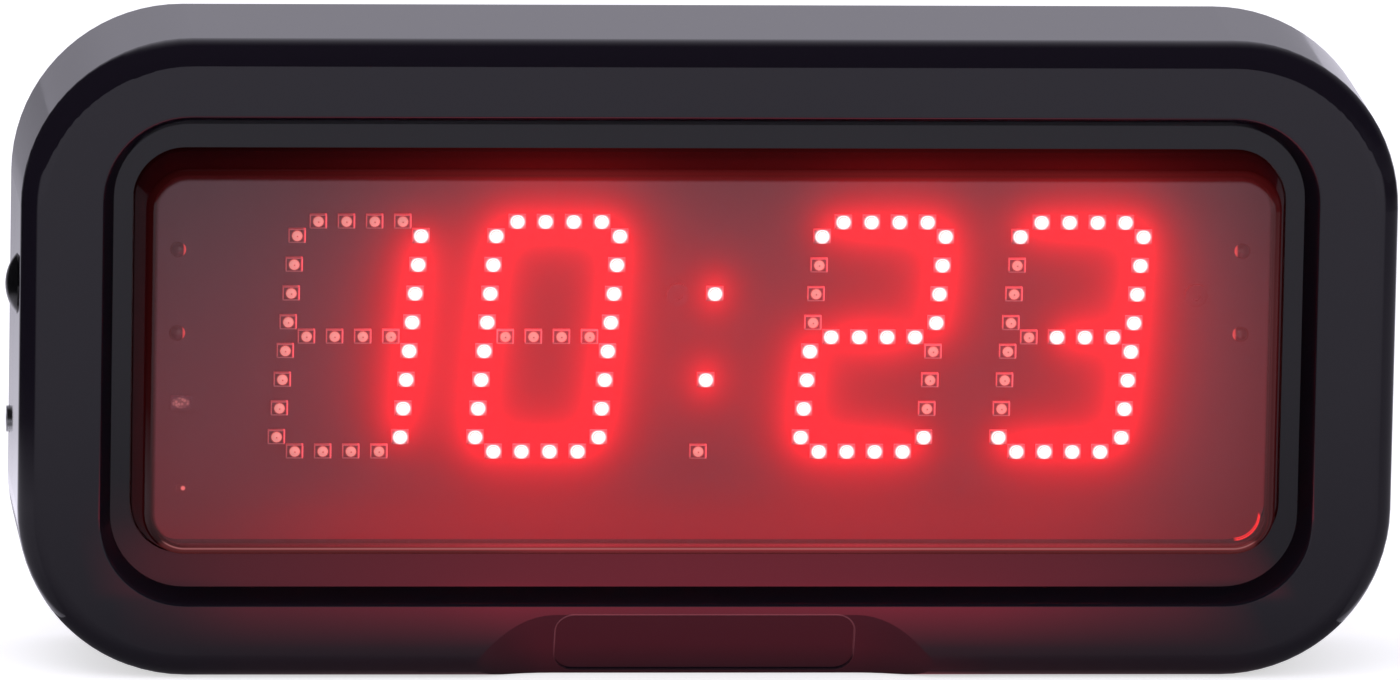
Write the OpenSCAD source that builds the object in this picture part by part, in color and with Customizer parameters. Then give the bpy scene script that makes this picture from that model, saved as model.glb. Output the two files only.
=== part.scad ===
// Digital outdoor clock: a raised tinted window in a gloss black case that hangs on a wall bracket.
// The wall is the plane y = 0, the front faces -Y and the origin is the centre of the wall screws.

/* [Case] */
// Width of the case
case_w = 282.5; // [281:0.5:288]
// Height of the case
case_h = 132.5; // [131:0.5:138]
// Corner radius of the case
case_r = 34.8; // [33:0.2:38]
// Height of the ring face above the wall
ring_d = 45.5; // [45:0.25:47]
// Gap between the wall and the back edge
rear_gap = 1; // [0.5:0.25:1.5]
// Radius of the roll-over from the ring to the sides
roll_r = 5; // [3.5:0.25:5.5]
// Radius of the back edge
rear_edge_r = 0.8; // [0.4:0.1:1]
// Thickness of the side walls
wall = 2.6; // [2.4:0.1:3]
// Thickness of the ring
skin = 2.6; // [2.2:0.1:3]
// Height of the joint between bezel and rear shell
part_d = 22.5; // [22:0.25:23]
// Depth of the space for the bracket behind the back wall
recess_deep = 9; // [8.5:0.25:9.25]
// Thickness of the back wall
back_wall = 2.5; // [2:0.1:2.75]

/* [Channel] */
// Width of the ring at the left and right
ring_side = 16.2; // [15.5:0.1:17]
// Width of the ring at the top and bottom
ring_top = 15.15; // [14.6:0.1:16]
// Corner radius of the channel's mouth
channel_r = 18.2; // [16:0.2:20]
// Depth of the channel
channel_deep = 6.5; // [5.5:0.25:7.5]
// Radius of the channel's lip
lip_r = 0.8; // [0.5:0.1:1.5]
// How far the channel's wall leans in
channel_lean = 2.1; // [1.4:0.1:2.4]
// Thickness of the channel's wall
channel_wall = 1.8; // [1.6:0.1:2.2]
// Thickness of the channel's floor
channel_floor = 2.4; // [2:0.1:2.6]

/* [Scoop] */
// Half of the scoop's flat width
scoop_half = 31; // [31:1:38]
// Width of each curved end of the scoop
scoop_run = 28; // [22:1:32]
// Slope of the scoop
scoop_tilt = 25; // [18:1:28]
// Distance from the channel's mouth to the start of the scoop
scoop_start = 1.7; // [1:0.1:2]
// Width of the badge place
badge_w = 61.6; // [50:0.4:62]
// Height of the badge place
badge_h = 14; // [12:0.5:14]
// Corner radius of the badge place
badge_r = 4; // [2:0.25:5]
// Depth of the badge place
badge_deep = 0.5; // [0.3:0.1:0.8]

/* [Window] */
// Clear channel floor at the window's left and right
gap_side = 4.1; // [3.5:0.1:4.7]
// Clear channel floor at the window's top and bottom
gap_top = 6.2; // [5.6:0.1:6.6]
// Upward offset of the window in the channel
window_z = 1.1; // [0:0.1:1.2]
// Corner radius of the window's foot
window_r = 10.5; // [9.5:0.25:13]
// Height of the window above the channel's floor
window_up = 13; // [12:0.5:14]
// How far the window's sides lean in
window_lean = 2.2; // [1.6:0.1:2.4]
// Radius of the window's rounded front edge
window_edge = 2.4; // [2:0.1:3]
// Radius of the same edge inside the window
window_edge_in = 0.4; // [0.3:0.1:1]
// Thickness of the window's sides
window_wall = 1.6; // [1.4:0.1:2]
// Thickness of the window's face
window_t = 2.4; // [2:0.1:3]
// Width of the window's flange
flange_w = 4.2; // [3.6:0.1:4.6]
// Thickness of the window's flange
flange_t = 2.2; // [1.6:0.1:2.4]
// Thickness of the window's gasket
gasket_t = 1; // [0.6:0.1:1.2]

/* [Display] */
// Depth of the display board's face below the ring
board_sink = 15; // [14.75:0.25:15.5]
// Thickness of both circuit boards
board_t = 1.6; // [1.2:0.1:1.8]
// How far the display board ends short of the window's inside
board_gap = 0.2; // [0.1:0.1:0.5]
// Sideways offset of the digits
field_x = 1; // [0:0.25:2]
// Upward offset of the digits
field_z = 2.7; // [2:0.1:3]
// Spacing of the two digits of a pair
digit_pitch = 40.8; // [38:0.2:41.5]
// Distance from the colon to the nearer digit
digit_near = 33.5; // [32:0.1:34]
// Sideways spacing of the LEDs
pitch_x = 5.77; // [5.2:0.05:5.9]
// Upward spacing of the LEDs
pitch_z = 6; // [5.4:0.1:6.1]
// Place of a digit's side columns, in LED spacings
column_at = 2.2; // [2.1:0.05:2.4]
// Slant of the digits
slant = 5; // [0:0.5:8]
// Hour that is shown
hour = 10; // [0:1:23]
// Minute that is shown
minute = 23; // [0:1:59]
// Width of an LED package
led_w = 3.5; // [3:0.1:3.8]
// Height of an LED package
led_h = 2.9; // [2.8:0.1:3.2]
// Thickness of an LED package
led_t = 1.4; // [1:0.1:1.6]
// Diameter of an LED's lens
lens_dia = 2.4; // [1.6:0.1:2.4]
// Height of an LED's domed lens above its face
lens_up = 0.8; // [0.4:0.1:1]
// Width of the rim round an LED's face
led_rim = 0.2; // [0.15:0.05:0.2]
// Depth of an LED's face below its rim
led_face_deep = 0.2; // [0.1:0.05:0.3]
// Depth of the dish that holds the lens
dish_deep = 0.5; // [0.3:0.05:0.7]

/* [Button] */
// Height of the button above the wall
button_d = 30.2; // [30:0.1:30.6]
// Place of the button above the middle
button_z = 13.3; // [10:0.5:15]
// Diameter of the button
button_dia = 12.2; // [11:0.2:12.6]
// Height of the button's dome above the case
button_up = 2.4; // [2:0.1:3]
// Travel of the button
button_travel = 0.8; // [0.5:0.1:1]
// Diameter of the button's stem
stem_dia = 6; // [5:0.1:6.5]
// Running clearance of the stem
stem_clear = 0.05; // [0.02:0.01:0.08]
// Depth of the dish that the button sinks into
button_dish = 1.5; // [1.4:0.1:1.8]
// Thickness of the wall behind the button
pad_t = 5.6; // [5.2:0.1:6]

/* [Fixing] */
// Sideways spacing of the wall screws
screws_x = 180; // [160:5:200]
// Upward spacing of the wall screws
screws_z = 40; // [34:1:42]
// Diameter of the wall screw holes
screw_hole = 5.2; // [4.2:0.1:6]
// Thickness of the bracket
bracket_t = 1.5; // [1.2:0.1:1.8]
// Height of the bracket
bracket_h = 58; // [56:1:58]
// Gap between the bracket's ears and the case
ear_gap = 0.75; // [0.6:0.05:1]
// Width of the bracket's cable cut-out
cutout_w = 60; // [50:1:70]
// Height of the bracket's cable cut-out
cutout_h = 34; // [33:1:36]
// Place of the lock screws below the middle
lock_z = 20; // [18:0.5:21]
// Height of the lock screws above the wall
lock_d = 5.5; // [5:0.25:5.75]
// Bore of the cable grommet
cable_bore = 7; // [5:0.25:8]
// Sideways place of the cable grommet
cable_x = 14; // [13:0.5:18]
// Place of the cable grommet below the middle
cable_z = 10; // [8:0.5:12]

/* [Control board] */
// Width of the control board
main_w = 84; // [82:1:86]
// Height of the control board
main_h = 62; // [60:1:64]
// Sideways place of the control board's middle
main_x = -56; // [-57:0.5:-55]
// Height of the bosses under the control board
main_boss = 2.5; // [2:0.1:2.6]
// Width of the power module
power_w = 32; // [28:1:34]
// Height of the power module
power_h = 22; // [18:1:23]
// Diameter of the backup cell
cell_dia = 12.5; // [10:0.5:12.5]
// Pitch of the driver chips along the display board
chip_pitch = 36; // [30:1:38]
// Place of the driver chips above the display board's lower edge
chip_up = 16.5; // [12:0.5:18]
// Place of the light sensor above the display board's lower edge
sensor_up = 29; // [26:0.5:30]
// Place of the status LED above the display board's lower edge
status_up = 11; // [8:0.5:12]

/* [Hidden] */
$fn = 64;
over = 1;
seam = 0.1;
slack = 0.25;
thin_gap = 0.05;

side_x = case_w / 2;
inner_x = side_x - wall;
back_d = rear_gap + recess_deep;
inside_d = back_d + back_wall;

channel_w = case_w - 2 * ring_side;
channel_h = case_h - 2 * ring_top;
channel_d = ring_d - channel_deep;
under_d = channel_d - channel_floor;
tub_w = channel_w - 2 * lip_r + 2 * channel_wall;
tub_h = channel_h - 2 * lip_r + 2 * channel_wall;
tub_r = channel_r - lip_r + channel_wall;

foot_inset = lip_r + channel_lean;
window_w = channel_w - 2 * (foot_inset + gap_side);
window_h = channel_h - 2 * (foot_inset + gap_top);
window_d = channel_d + window_up;
flange_d = under_d - gasket_t;

board_d = ring_d - board_sink;
board_back_d = board_d - board_t;
board_w = window_w - 2 * (window_wall + board_gap);
board_h = window_h - 2 * (window_wall + board_gap);

scoop_z = channel_h / 2 + scoop_start;
scoop_rise = (case_h / 2 - scoop_z) * tan(scoop_tilt);
scoop_arc = (pow(scoop_run, 2) + pow(scoop_rise, 2)) / (4 * scoop_rise);

boss_r = 4.4;
boss_reach = case_r - wall - boss_r + seam * 3;
boss_x = side_x - case_r + boss_reach * cos(45);
boss_z = case_h / 2 - case_r + boss_reach * sin(45);
case_screw_dia = 3;
case_screw_len = 20;
pilot = 2.5;

rim_groove = 0.8;
rim_groove_w = 1;
tongue_t = 1.5;
tongue_up = 3;

stem_r = stem_dia / 2;
bore_r = stem_r + stem_clear;
pad_r = button_d - part_d - 0.2;
cap_back = button_dish - button_travel - 0.3;
clip_t = 0.7;
clip_at = pad_t + 0.15;
stem_end = clip_at + clip_t + 0.9;
plunger_r = 1.75;
switch_size = 6.2;
switch_at = stem_end + button_travel + 0.4;
switch_t = 3.5;
switch_hole = button_travel + 1.1;
switch_board_at = switch_at + switch_t;
switch_board_w = 11.4;
switch_board_h = 26;
switch_board_d = (part_d + under_d) / 2 + 0.3;
post_gap = 10;
small_screw_dia = 1.6;

peg_x = board_w / 2 - 6.8;
peg_high = 17.9;
peg_low = 0.5;
peg_hole = 2.4;
peg_dia = 2;
peg_head = 3.3;
board_screw_x = [-6.8, 100];
board_screw_z = 8.7;
pillar_r = 3;

main_d = inside_d + main_boss;
main_top_d = main_d + board_t;
main_hole_x = main_w / 2 - 4;
main_hole_z = main_h / 2 - 4;
main_screw_head = 5.4;
part_gap = 1.3;
power_x = power_w / 2 + main_screw_head / 2 + part_gap - main_hole_x;
power_z = power_h / 2 + 4 - main_h / 2;
connector_w = 5;
connector_x = 1 + connector_w / 2 - main_w / 2;
cell_r = cell_dia / 2 + 1.35;
cell_x = connector_x + connector_w / 2 + part_gap + cell_r;
cell_z = main_hole_z - 11;
terminal_x = main_w / 2 - 9;
can_r = 3.15;
can_pitch = 8;
can_x = power_x + power_w / 2 + part_gap + can_r + 3;
can_z = can_r + 5.5 - main_h / 2;
chip_t = 1.6;
header_x = -54;
header_z = 22;
header_t = 2.5;
pins = 8;
pin_pitch = 2.54;
pin_size = 0.64;

grommet_hole = cable_bore + 5;
grommet_lip = 1.5;
ear_x = inner_x - ear_gap;
bend_r = bracket_t + 1;
ear_up = 9.2;
ear_h = 18;
tab_w = 24;
tab_x = 60;
tab_reach = 7.9;
tab_lip = 5;
hang_gap = 0.3;
lock_dia = 3;
lock_head_dia = 5.4;
lock_head_t = 2;
lock_sink = 1.4;

// Lit segments of the figures 0 to 9: a top, b and c right, d bottom, e and f left, g middle
SEGMENTS = ["abcdef", "bc", "abdeg", "abcdg", "bcfg", "acdfg", "acdefg", "abc", "abcdefg", "abcdfg"];
ROWS = [-4, 0, 4];
IN_ROW = [-1.5 : 1 : 1.5];
IN_COLUMN = [-3.5 : 1 : 3.5];
DIGITS_X = [-digit_near - digit_pitch, -digit_near, digit_near, digit_near + digit_pitch];
DIGITS = [floor(hour / 10), hour % 10, floor(minute / 10), minute % 10];

function on(figure, segment) = len(search(segment, SEGMENTS[figure])) > 0;
function row_segment(row) = row > 0 ? "a" : row < 0 ? "d" : "g";
function column_segment(side, at) = side > 0 ? (at > 0 ? "b" : "c") : (at > 0 ? "f" : "e");
function row_lit(figure, row, at) =
    on(figure, row_segment(row)) && (row != 0 || at > -1 || on(figure, "e") || on(figure, "f"));
function column_lit(figure, side, at) =
    on(figure, column_segment(side, at)) || (at > 3 && on(figure, "a")) || (at < -3 && on(figure, "d"));
function spot(x, z) = [x + z * tan(slant) + field_x, z + field_z];

// Places of one digit's LEDs, each with whether it is lit
function digit_spots(figure, x) = concat(
    [for (row = ROWS, at = IN_ROW) [spot(x + at * pitch_x, row * pitch_z), row_lit(figure, row, at)]],
    [for (side = [-column_at, column_at], at = IN_COLUMN)
        [spot(x + side * pitch_x, at * pitch_z), column_lit(figure, side, at)]]);
function colon_spots() = [for (at = [-4, -1.5, 1.5]) [spot(0, at * pitch_z), at > -4]];
function all_spots() = concat(
    [for (i = [0 : 3], s = digit_spots(DIGITS[i], DIGITS_X[i])) s], colon_spots());

// Turns a shape drawn facing up so that it faces the front: x right, y up, z out from the wall
module facing() rotate([90, 0, 0]) children();

// Sweeps a profile round a rounded rectangle: its x runs out from the corner centres
module around(w, h, r) {
    for (turn = [0 : 3]) {
        reach = (turn % 2 == 0 ? w : h) / 2 - r;
        side = (turn % 2 == 0 ? h : w) / 2 - r;
        rotate(90 * turn) translate([reach, side]) {
            rotate_extrude(angle = 90) children();
            rotate([90, 0, 0]) linear_extrude(2 * side) children();
        }
    }
}

// The same sweep with its middle filled from z0 to z1
module filled(w, h, r, z0, z1) {
    around(w, h, r) children();
    translate([r - w / 2, r - h / 2, z0]) cube([w - 2 * r, h - 2 * r, z1 - z0]);
}

module slab(w, h, r, z0, z1) {
    filled(w, h, r, z0, z1) translate([0, z0]) square([r, z1 - z0]);
}

// Places things in the four corners of a rectangle given by its half sizes
module corners(x, y) {
    for (side = [-1, 1], end = [-1, 1]) translate([side * x, end * y]) children();
}

module disc(r, z0, z1) translate([0, 0, z0]) cylinder(r = r, h = z1 - z0);

module block(w, h, z0, z1) translate([-w / 2, -h / 2, z0]) cube([w, h, z1 - z0]);

// Pan head screw that points down, its head standing on z = 0
module screw(dia, len, head_dia, head_t) {
    difference() {
        union() {
            disc(dia / 2, -len, seam);
            disc(head_dia / 2, 0, head_t);
        }
        disc(head_dia / 5, head_t / 2, head_t + over);
    }
}

// Axis of the button, with z running into the case from the left side's surface
module on_button_axis() translate([-side_x, button_z, button_d]) rotate([0, 90, 0]) children();

// Outer form of the bezel with its rolled front edge
module bezel_body() {
    filled(case_w, case_h, case_r, part_d, ring_d) {
        difference() {
            translate([0, part_d]) square([case_r, ring_d - part_d]);
            difference() {
                translate([case_r - roll_r, ring_d - roll_r]) square(roll_r + over);
                translate([case_r - roll_r, ring_d - roll_r]) circle(roll_r);
            }
        }
    }
}

// Space of the channel: its leaning wall runs smoothly into the rounded lip
module channel_space() {
    lip_up = channel_deep - lip_r;
    to_lip = norm([foot_inset, lip_up]);
    wall_slope = atan2(lip_up, foot_inset) + asin(lip_r / to_lip);
    wall_run = sqrt(pow(to_lip, 2) - pow(lip_r, 2));
    touch = [channel_r - foot_inset + wall_run * cos(wall_slope), channel_d + wall_run * sin(wall_slope)];
    filled(channel_w, channel_h, channel_r, channel_d, ring_d + over) difference() {
        polygon([[0, channel_d], [channel_r - foot_inset, channel_d], touch, [channel_r, touch[1]],
            [channel_r, ring_d + over], [0, ring_d + over]]);
        translate([channel_r, ring_d - lip_r]) circle(lip_r);
    }
}

// Outline of the scoop's cut: a flat floor with a rising and a falling arc at each end
module scoop_outline() {
    high = scoop_rise + 6;
    square([2 * scoop_half, 2 * high], center = true);
    for (side = [0, 1]) mirror([side, 0]) {
        intersection() {
            translate([scoop_half, scoop_arc]) circle(scoop_arc, $fn = 180);
            translate([scoop_half - seam, 0]) square([scoop_run / 2 + seam, high]);
        }
        difference() {
            translate([scoop_half + scoop_run / 2, 0]) square([scoop_run / 2, high]);
            translate([scoop_half + scoop_run, scoop_rise - scoop_arc]) circle(scoop_arc, $fn = 180);
        }
    }
}

// Moves to the scoop's upper edge, with z square to its slope
module on_scoop() translate([0, -scoop_z, ring_d]) rotate([scoop_tilt, 0, 0]) children();

module scoop_cut() {
    reach = (case_h / 2 - scoop_z) / cos(scoop_tilt) + 4;
    on_scoop() translate([0, seam, 0]) rotate([90, 0, 0]) linear_extrude(reach) intersection() {
        scoop_outline();
        translate([-side_x, 0]) square([case_w, case_h]);
    }
}

// Inner side of the scoop, which keeps the ring's thickness under the slope
module scoop_backing() {
    length = 2 * (scoop_half + scoop_run);
    drop = skin / cos(scoop_tilt);
    foot_z = case_h / 2 - wall / 2;
    fall = (foot_z - scoop_z) * tan(scoop_tilt);
    translate([-length / 2, 0, 0]) rotate([90, 0, 90]) linear_extrude(length) polygon([
        [-scoop_z, ring_d - skin / 2], [-scoop_z, ring_d - drop],
        [-foot_z, ring_d - drop - fall], [-foot_z, ring_d - skin / 2]]);
}

module badge_place() {
    middle = badge_h / 2 + 0.1;
    on_scoop() translate([0, -middle, 0]) slab(badge_w, badge_h, badge_r, -badge_deep, 8);
}

module bezel_bosses() {
    corners(boss_x, boss_z) disc(boss_r, part_d, ring_d - skin / 2);
    on_button_axis() disc(pad_r, wall - seam, pad_t);
    for (end = [-1, 1]) translate([0, end * post_gap, switch_board_d - button_d])
        on_button_axis() disc(2.5, wall - seam, switch_board_at);
}

module bezel_holes() {
    corners(boss_x, boss_z) disc(pilot / 2, part_d - over, back_d + case_screw_len + over);
    on_button_axis() {
        disc(button_dia / 2 + 0.2, -over, button_dish);
        disc(bore_r, -over, pad_t + over);
    }
    for (end = [-1, 1]) translate([0, end * post_gap, switch_board_d - button_d])
        on_button_axis() disc(small_screw_dia / 2, pad_t, switch_board_at + over);
}

module front_bezel() {
    color("#17161a") facing() difference() {
        union() {
            difference() {
                bezel_body();
                slab(case_w - 2 * wall, case_h - 2 * wall, case_r - wall, part_d - over, ring_d - skin);
            }
            slab(tub_w, tub_h, tub_r, under_d, ring_d - skin / 2);
            scoop_backing();
            bezel_bosses();
        }
        channel_space();
        translate([0, window_z])
            slab(window_w + 2 * slack, window_h + 2 * slack, window_r + slack, under_d - over, channel_d + over);
        scoop_cut();
        badge_place();
        bezel_holes();
    }
}

// Leaning tray with a rounded edge, drawn from a foot height up to its face
module tray(w, h, r, foot_d, face_d, edge) {
    up = face_d - channel_d;
    side = norm([up, window_lean]);
    edge_x = r - (edge * side + (up - edge) * window_lean) / up;
    edge_d = face_d - edge;
    filled(w, h, r, foot_d, face_d) {
        polygon([[0, foot_d], [r, foot_d], [r, channel_d],
            [edge_x + edge * up / side, edge_d + edge * window_lean / side], [edge_x, edge_d],
            [edge_x, face_d], [0, face_d]]);
        translate([edge_x, edge_d]) intersection() {
            circle(edge);
            translate([-seam, 0]) square(edge + seam);
        }
    }
}

module display_window() {
    inner = 2 * window_wall;
    flange = 2 * flange_w;
    color("#3a0f14", 0.6) facing() translate([0, window_z]) difference() {
        union() {
            tray(window_w, window_h, window_r, flange_d - flange_t, window_d, window_edge);
            slab(window_w + flange, window_h + flange, window_r + flange_w, flange_d - flange_t, flange_d);
        }
        tray(window_w - inner, window_h - inner, window_r - window_wall, flange_d - flange_t - over,
            window_d - window_t, window_edge_in);
    }
}

module window_gasket() {
    inset = 0.8;
    color("#202022") facing() translate([0, window_z])
        around(window_w + 2 * flange_w, window_h + 2 * flange_w, window_r + flange_w)
        translate([window_r + inset, flange_d]) square([flange_w - inset, gasket_t]);
}

// Outer form of the rear shell with its eased back edge
module shell_body() {
    filled(case_w, case_h, case_r, rear_gap, part_d) difference() {
        translate([0, rear_gap]) square([case_r, part_d - rear_gap]);
        difference() {
            translate([case_r - rear_edge_r, rear_gap - over]) square([rear_edge_r + over, rear_edge_r + over]);
            translate([case_r - rear_edge_r, rear_gap + rear_edge_r]) circle(rear_edge_r);
        }
    }
}

// Lip that enters the bezel and lines up the two halves
module tongue() {
    foot = case_r - wall;
    difference() {
        around(case_w, case_h, case_r) polygon([[foot + seam, part_d - 5], [foot - 0.15 - tongue_t, part_d - 3],
            [foot - 0.15 - tongue_t, part_d + tongue_up], [foot - 0.15, part_d + tongue_up],
            [foot - 0.15, part_d], [foot + seam, part_d]]);
        corners(boss_x, boss_z) disc(boss_r + slack, part_d, part_d + tongue_up + over);
        translate([-side_x, button_z - pad_r - slack, part_d]) cube([20, 2 * (pad_r + slack), tongue_up + over]);
    }
}

// Pillars that carry the display board
module board_pillars() {
    for (side = [-1, 1], z = [peg_low, peg_high])
        translate([side * peg_x + field_x, z + field_z]) disc(pillar_r, inside_d - seam, board_back_d);
    for (x = board_screw_x)
        translate([x + field_x, board_screw_z + field_z]) disc(pillar_r, inside_d - seam, board_back_d);
}

// Bars behind the back wall that drop over the bracket's tabs
module hang_bars() {
    bar_z = bracket_h / 2 + hang_gap;
    bar_d = bracket_t + 0.8;
    for (side = [-1, 1]) translate([side * tab_x, bar_z]) {
        translate([-tab_w / 2 - 3, 0, bar_d]) cube([tab_w + 6, tab_lip + 0.5, tab_reach - 2 * bracket_t - 1.3]);
        for (end = [-1, 1]) translate([end * (tab_w / 2 + 2) - 1, 0, bar_d])
            cube([2, tab_lip + 0.5, back_d - bar_d + seam]);
    }
}

module shell_holes() {
    corners(boss_x, boss_z) disc(case_screw_dia / 2 + 0.2, back_d - over, part_d + over);
    translate([cable_x, -cable_z]) disc(grommet_hole / 2, back_d - over, inside_d + over);
    for (side = [-1, 1], z = [peg_low, peg_high])
        translate([side * peg_x + field_x, z + field_z]) disc(peg_dia / 2 + thin_gap, board_back_d - 7, board_back_d + over);
    for (x = board_screw_x)
        translate([x + field_x, board_screw_z + field_z]) disc(pilot / 2, board_back_d - 9, board_back_d + over);
    translate([main_x, 0]) corners(main_hole_x, main_hole_z) disc(pilot / 2, main_d - 4.2, main_d + over);
    for (side = [0, 1]) mirror([side, 0]) translate([side_x, -lock_z, lock_d]) rotate([0, -90, 0]) {
        disc(lock_dia / 2 + 0.2, -over, wall + over);
        disc(lock_head_dia / 2 + 0.2, -over, lock_sink);
    }
}

module rear_shell() {
    recess_w = case_w - 2 * wall;
    recess_h = case_h - 2 * wall;
    color("#1b1a1e") facing() difference() {
        union() {
            difference() {
                shell_body();
                slab(recess_w, recess_h, case_r - wall, rear_gap - over, back_d);
                slab(recess_w, recess_h, case_r - wall, inside_d, part_d + over);
                around(case_w, case_h, case_r) translate([case_r - (wall + rim_groove_w) / 2, part_d - rim_groove])
                    square([rim_groove_w, rim_groove + over]);
            }
            tongue();
            corners(boss_x, boss_z) disc(boss_r, inside_d - seam, part_d);
            board_pillars();
            translate([main_x, 0]) corners(main_hole_x, main_hole_z) disc(pillar_r, inside_d - seam, main_d);
            hang_bars();
        }
        shell_holes();
    }
}

module housing_gasket() {
    gasket_w = rim_groove_w - 2 * thin_gap;
    color("#2a2a2c") facing() around(case_w, case_h, case_r)
        translate([case_r - (wall + gasket_w) / 2, part_d - rim_groove]) square([gasket_w, rim_groove]);
}

// Domed cap and stem in one moulding, with grooves for the seal and the clip
module set_button() {
    dome_h = button_up - 0.2;
    dome_r = (pow(button_dia / 2, 2) + pow(dome_h, 2)) / (2 * dome_h);
    color("#101012") facing() on_button_axis() rotate_extrude() difference() {
        union() {
            intersection() {
                translate([0, dome_r - button_up]) circle(dome_r, $fn = 128);
                translate([0, -button_up]) square([button_dia / 2, dome_h + seam]);
            }
            translate([0, -0.2]) square([button_dia / 2, cap_back + 0.2]);
            translate([0, cap_back - seam]) square([stem_r, stem_end - cap_back + seam]);
        }
        translate([stem_r - 0.85, 3]) square([over, 1]);
        translate([stem_r - 0.5, clip_at]) square([over, clip_t + thin_gap]);
    }
}

module button_seal() {
    ring_r = 0.42;
    color("#3a3a3c") facing() on_button_axis() rotate_extrude()
        translate([stem_r + 0.02 - ring_r, 3.5]) circle(ring_r, $fn = 24);
}

module button_clip() {
    color("#b8babd") facing() on_button_axis() difference() {
        disc(stem_r + 1.3, clip_at, clip_at + clip_t);
        disc(stem_r - 0.5 + 0.02, clip_at - over, clip_at + clip_t + over);
        rotate(180) translate([0, -1.4, clip_at - over]) cube([stem_r + 2, 2.8, clip_t + 2 * over]);
    }
}

module switch_plunger() {
    color("#8a2b22") facing() on_button_axis() disc(plunger_r, stem_end, switch_at + 0.8);
}

module switch_body() {
    color("#1d1d1f") facing() on_button_axis() difference() {
        block(switch_size, switch_size, switch_at, switch_at + switch_t);
        disc(plunger_r + 0.1, switch_at - over, switch_at + switch_hole);
    }
}

module switch_board() {
    color("#2c5a38") facing() translate([0, 0, switch_board_d - button_d]) on_button_axis() difference() {
        block(switch_board_w, switch_board_h, switch_board_at, switch_board_at + board_t);
        for (end = [-1, 1]) translate([0, end * post_gap])
            disc(small_screw_dia / 2 + 0.2, switch_board_at - over, switch_board_at + board_t + over);
    }
}

module switch_screws() {
    color("#b8babd") facing() translate([0, 0, switch_board_d - button_d]) on_button_axis()
        for (end = [-1, 1]) translate([0, end * post_gap, switch_board_at + board_t])
            screw(small_screw_dia - 0.1, 6, 3.2, 1.2);
}

// Flat lead from the switch board down to its connector on the control board
module switch_cable() {
    start_x = -side_x + switch_board_at + board_t;
    end_x = main_x - main_w / 2 + 1;
    high_d = board_back_d - chip_t - 2.2;
    low_d = main_top_d + 1.4;
    color("#3b3b40") facing() translate([0, button_z + 1.1, 0]) rotate([90, 0, 0]) linear_extrude(5) polygon([
        [start_x, high_d], [start_x + 6, high_d], [end_x - 8, low_d], [end_x, low_d],
        [end_x, low_d + 1], [end_x - 7.5, low_d + 1], [start_x + 6.5, high_d + 1], [start_x, high_d + 1]]);
}

module cable_connector() {
    color("#e4e2d8") facing() translate([main_x + connector_x, button_z - 1.4])
        block(connector_w, 7, main_top_d, main_top_d + 4.2);
}

module display_board() {
    color("#33201d") facing() difference() {
        slab(board_w, board_h, window_r - window_wall - board_gap, board_back_d, board_d);
        for (side = [-1, 1], z = [peg_low, peg_high])
            translate([side * peg_x + field_x, z + field_z]) disc(peg_hole / 2, board_back_d - over, board_d + over);
        for (x = board_screw_x)
            translate([x + field_x, board_screw_z + field_z]) disc(1.7, board_back_d - over, board_d + over);
    }
}

// One LED package: a thin rim round its sunk face, and the round dish for its lens
module led() {
    led_d = board_d + led_t;
    difference() {
        block(led_w, led_h, board_d, led_d);
        block(led_w - 2 * led_rim, led_h - 2 * led_rim, led_d - led_face_deep, led_d + over);
        disc(lens_dia / 2, led_d - dish_deep, led_d + over);
    }
}

module leds(spots) {
    color("#b8524a") facing() for (s = spots) translate(s[0]) led();
}

// Domed epoxy lens with its foot in the package's dish
module lens() {
    r = lens_dia / 2 - thin_gap;
    cap_r = (pow(r, 2) + pow(lens_up, 2)) / (2 * lens_up);
    face_d = board_d + led_t - led_face_deep;
    foot = dish_deep - led_face_deep;
    rotate_extrude() translate([0, face_d]) {
        translate([0, -foot]) square([r, foot]);
        intersection() {
            translate([0, lens_up - cap_r]) circle(cap_r);
            translate([0, -seam]) square([r, lens_up + seam]);
        }
    }
}

module lenses(lit) {
    facing() for (s = all_spots()) if (s[1] == lit) translate(s[0]) lens();
}

module leds_hour_tens() leds(digit_spots(DIGITS[0], DIGITS_X[0]));
module leds_hour_units() leds(digit_spots(DIGITS[1], DIGITS_X[1]));
module leds_minute_tens() leds(digit_spots(DIGITS[2], DIGITS_X[2]));
module leds_minute_units() leds(digit_spots(DIGITS[3], DIGITS_X[3]));
module leds_colon() leds(colon_spots());
module lenses_lit() color("#ffffff") lenses(true);
module lenses_unlit() color("#e88a8a") lenses(false);

module light_sensor() {
    color("#1a1416") facing() translate([0.9 - peg_x + field_x, sensor_up - board_h / 2]) block(4.1, 2.7, board_d, board_d + 1);
}

module status_led() {
    color("#d8c8c0") facing() translate([1.2 - peg_x + field_x, status_up - board_h / 2]) block(2, 1.25, board_d, board_d + 0.7);
}

// Domed pegs that snap through the display board into its pillars
module board_pegs() {
    color("#141315") facing() for (side = [-1, 1], z = [peg_low, peg_high])
        translate([side * peg_x + field_x, z + field_z, board_d]) {
            translate([0, 0, -board_t - 6]) cylinder(d = peg_dia, h = board_t + 6 + seam);
            rotate_extrude() intersection() {
                circle(peg_head / 2);
                square(peg_head);
            }
        }
}

module board_screws() {
    color("#9a9ca0") facing() for (x = board_screw_x)
        translate([x + field_x, board_screw_z + field_z, board_d]) screw(pilot - 2 * thin_gap, 8.5, 4.7, 1.4);
}

// LED driver chips on the back of the display board
module driver_chips() {
    color("#1c1c1e") facing() for (i = [-2.5 : 2.5]) translate([i * chip_pitch, chip_up - board_h / 2])
        block(9.9, 3.9, board_back_d - chip_t, board_back_d);
}

module pin_places() {
    for (i = [0 : pins - 1], row = [-0.5, 0.5]) translate([(i - (pins - 1) / 2) * pin_pitch, row * pin_pitch]) children();
}

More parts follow.
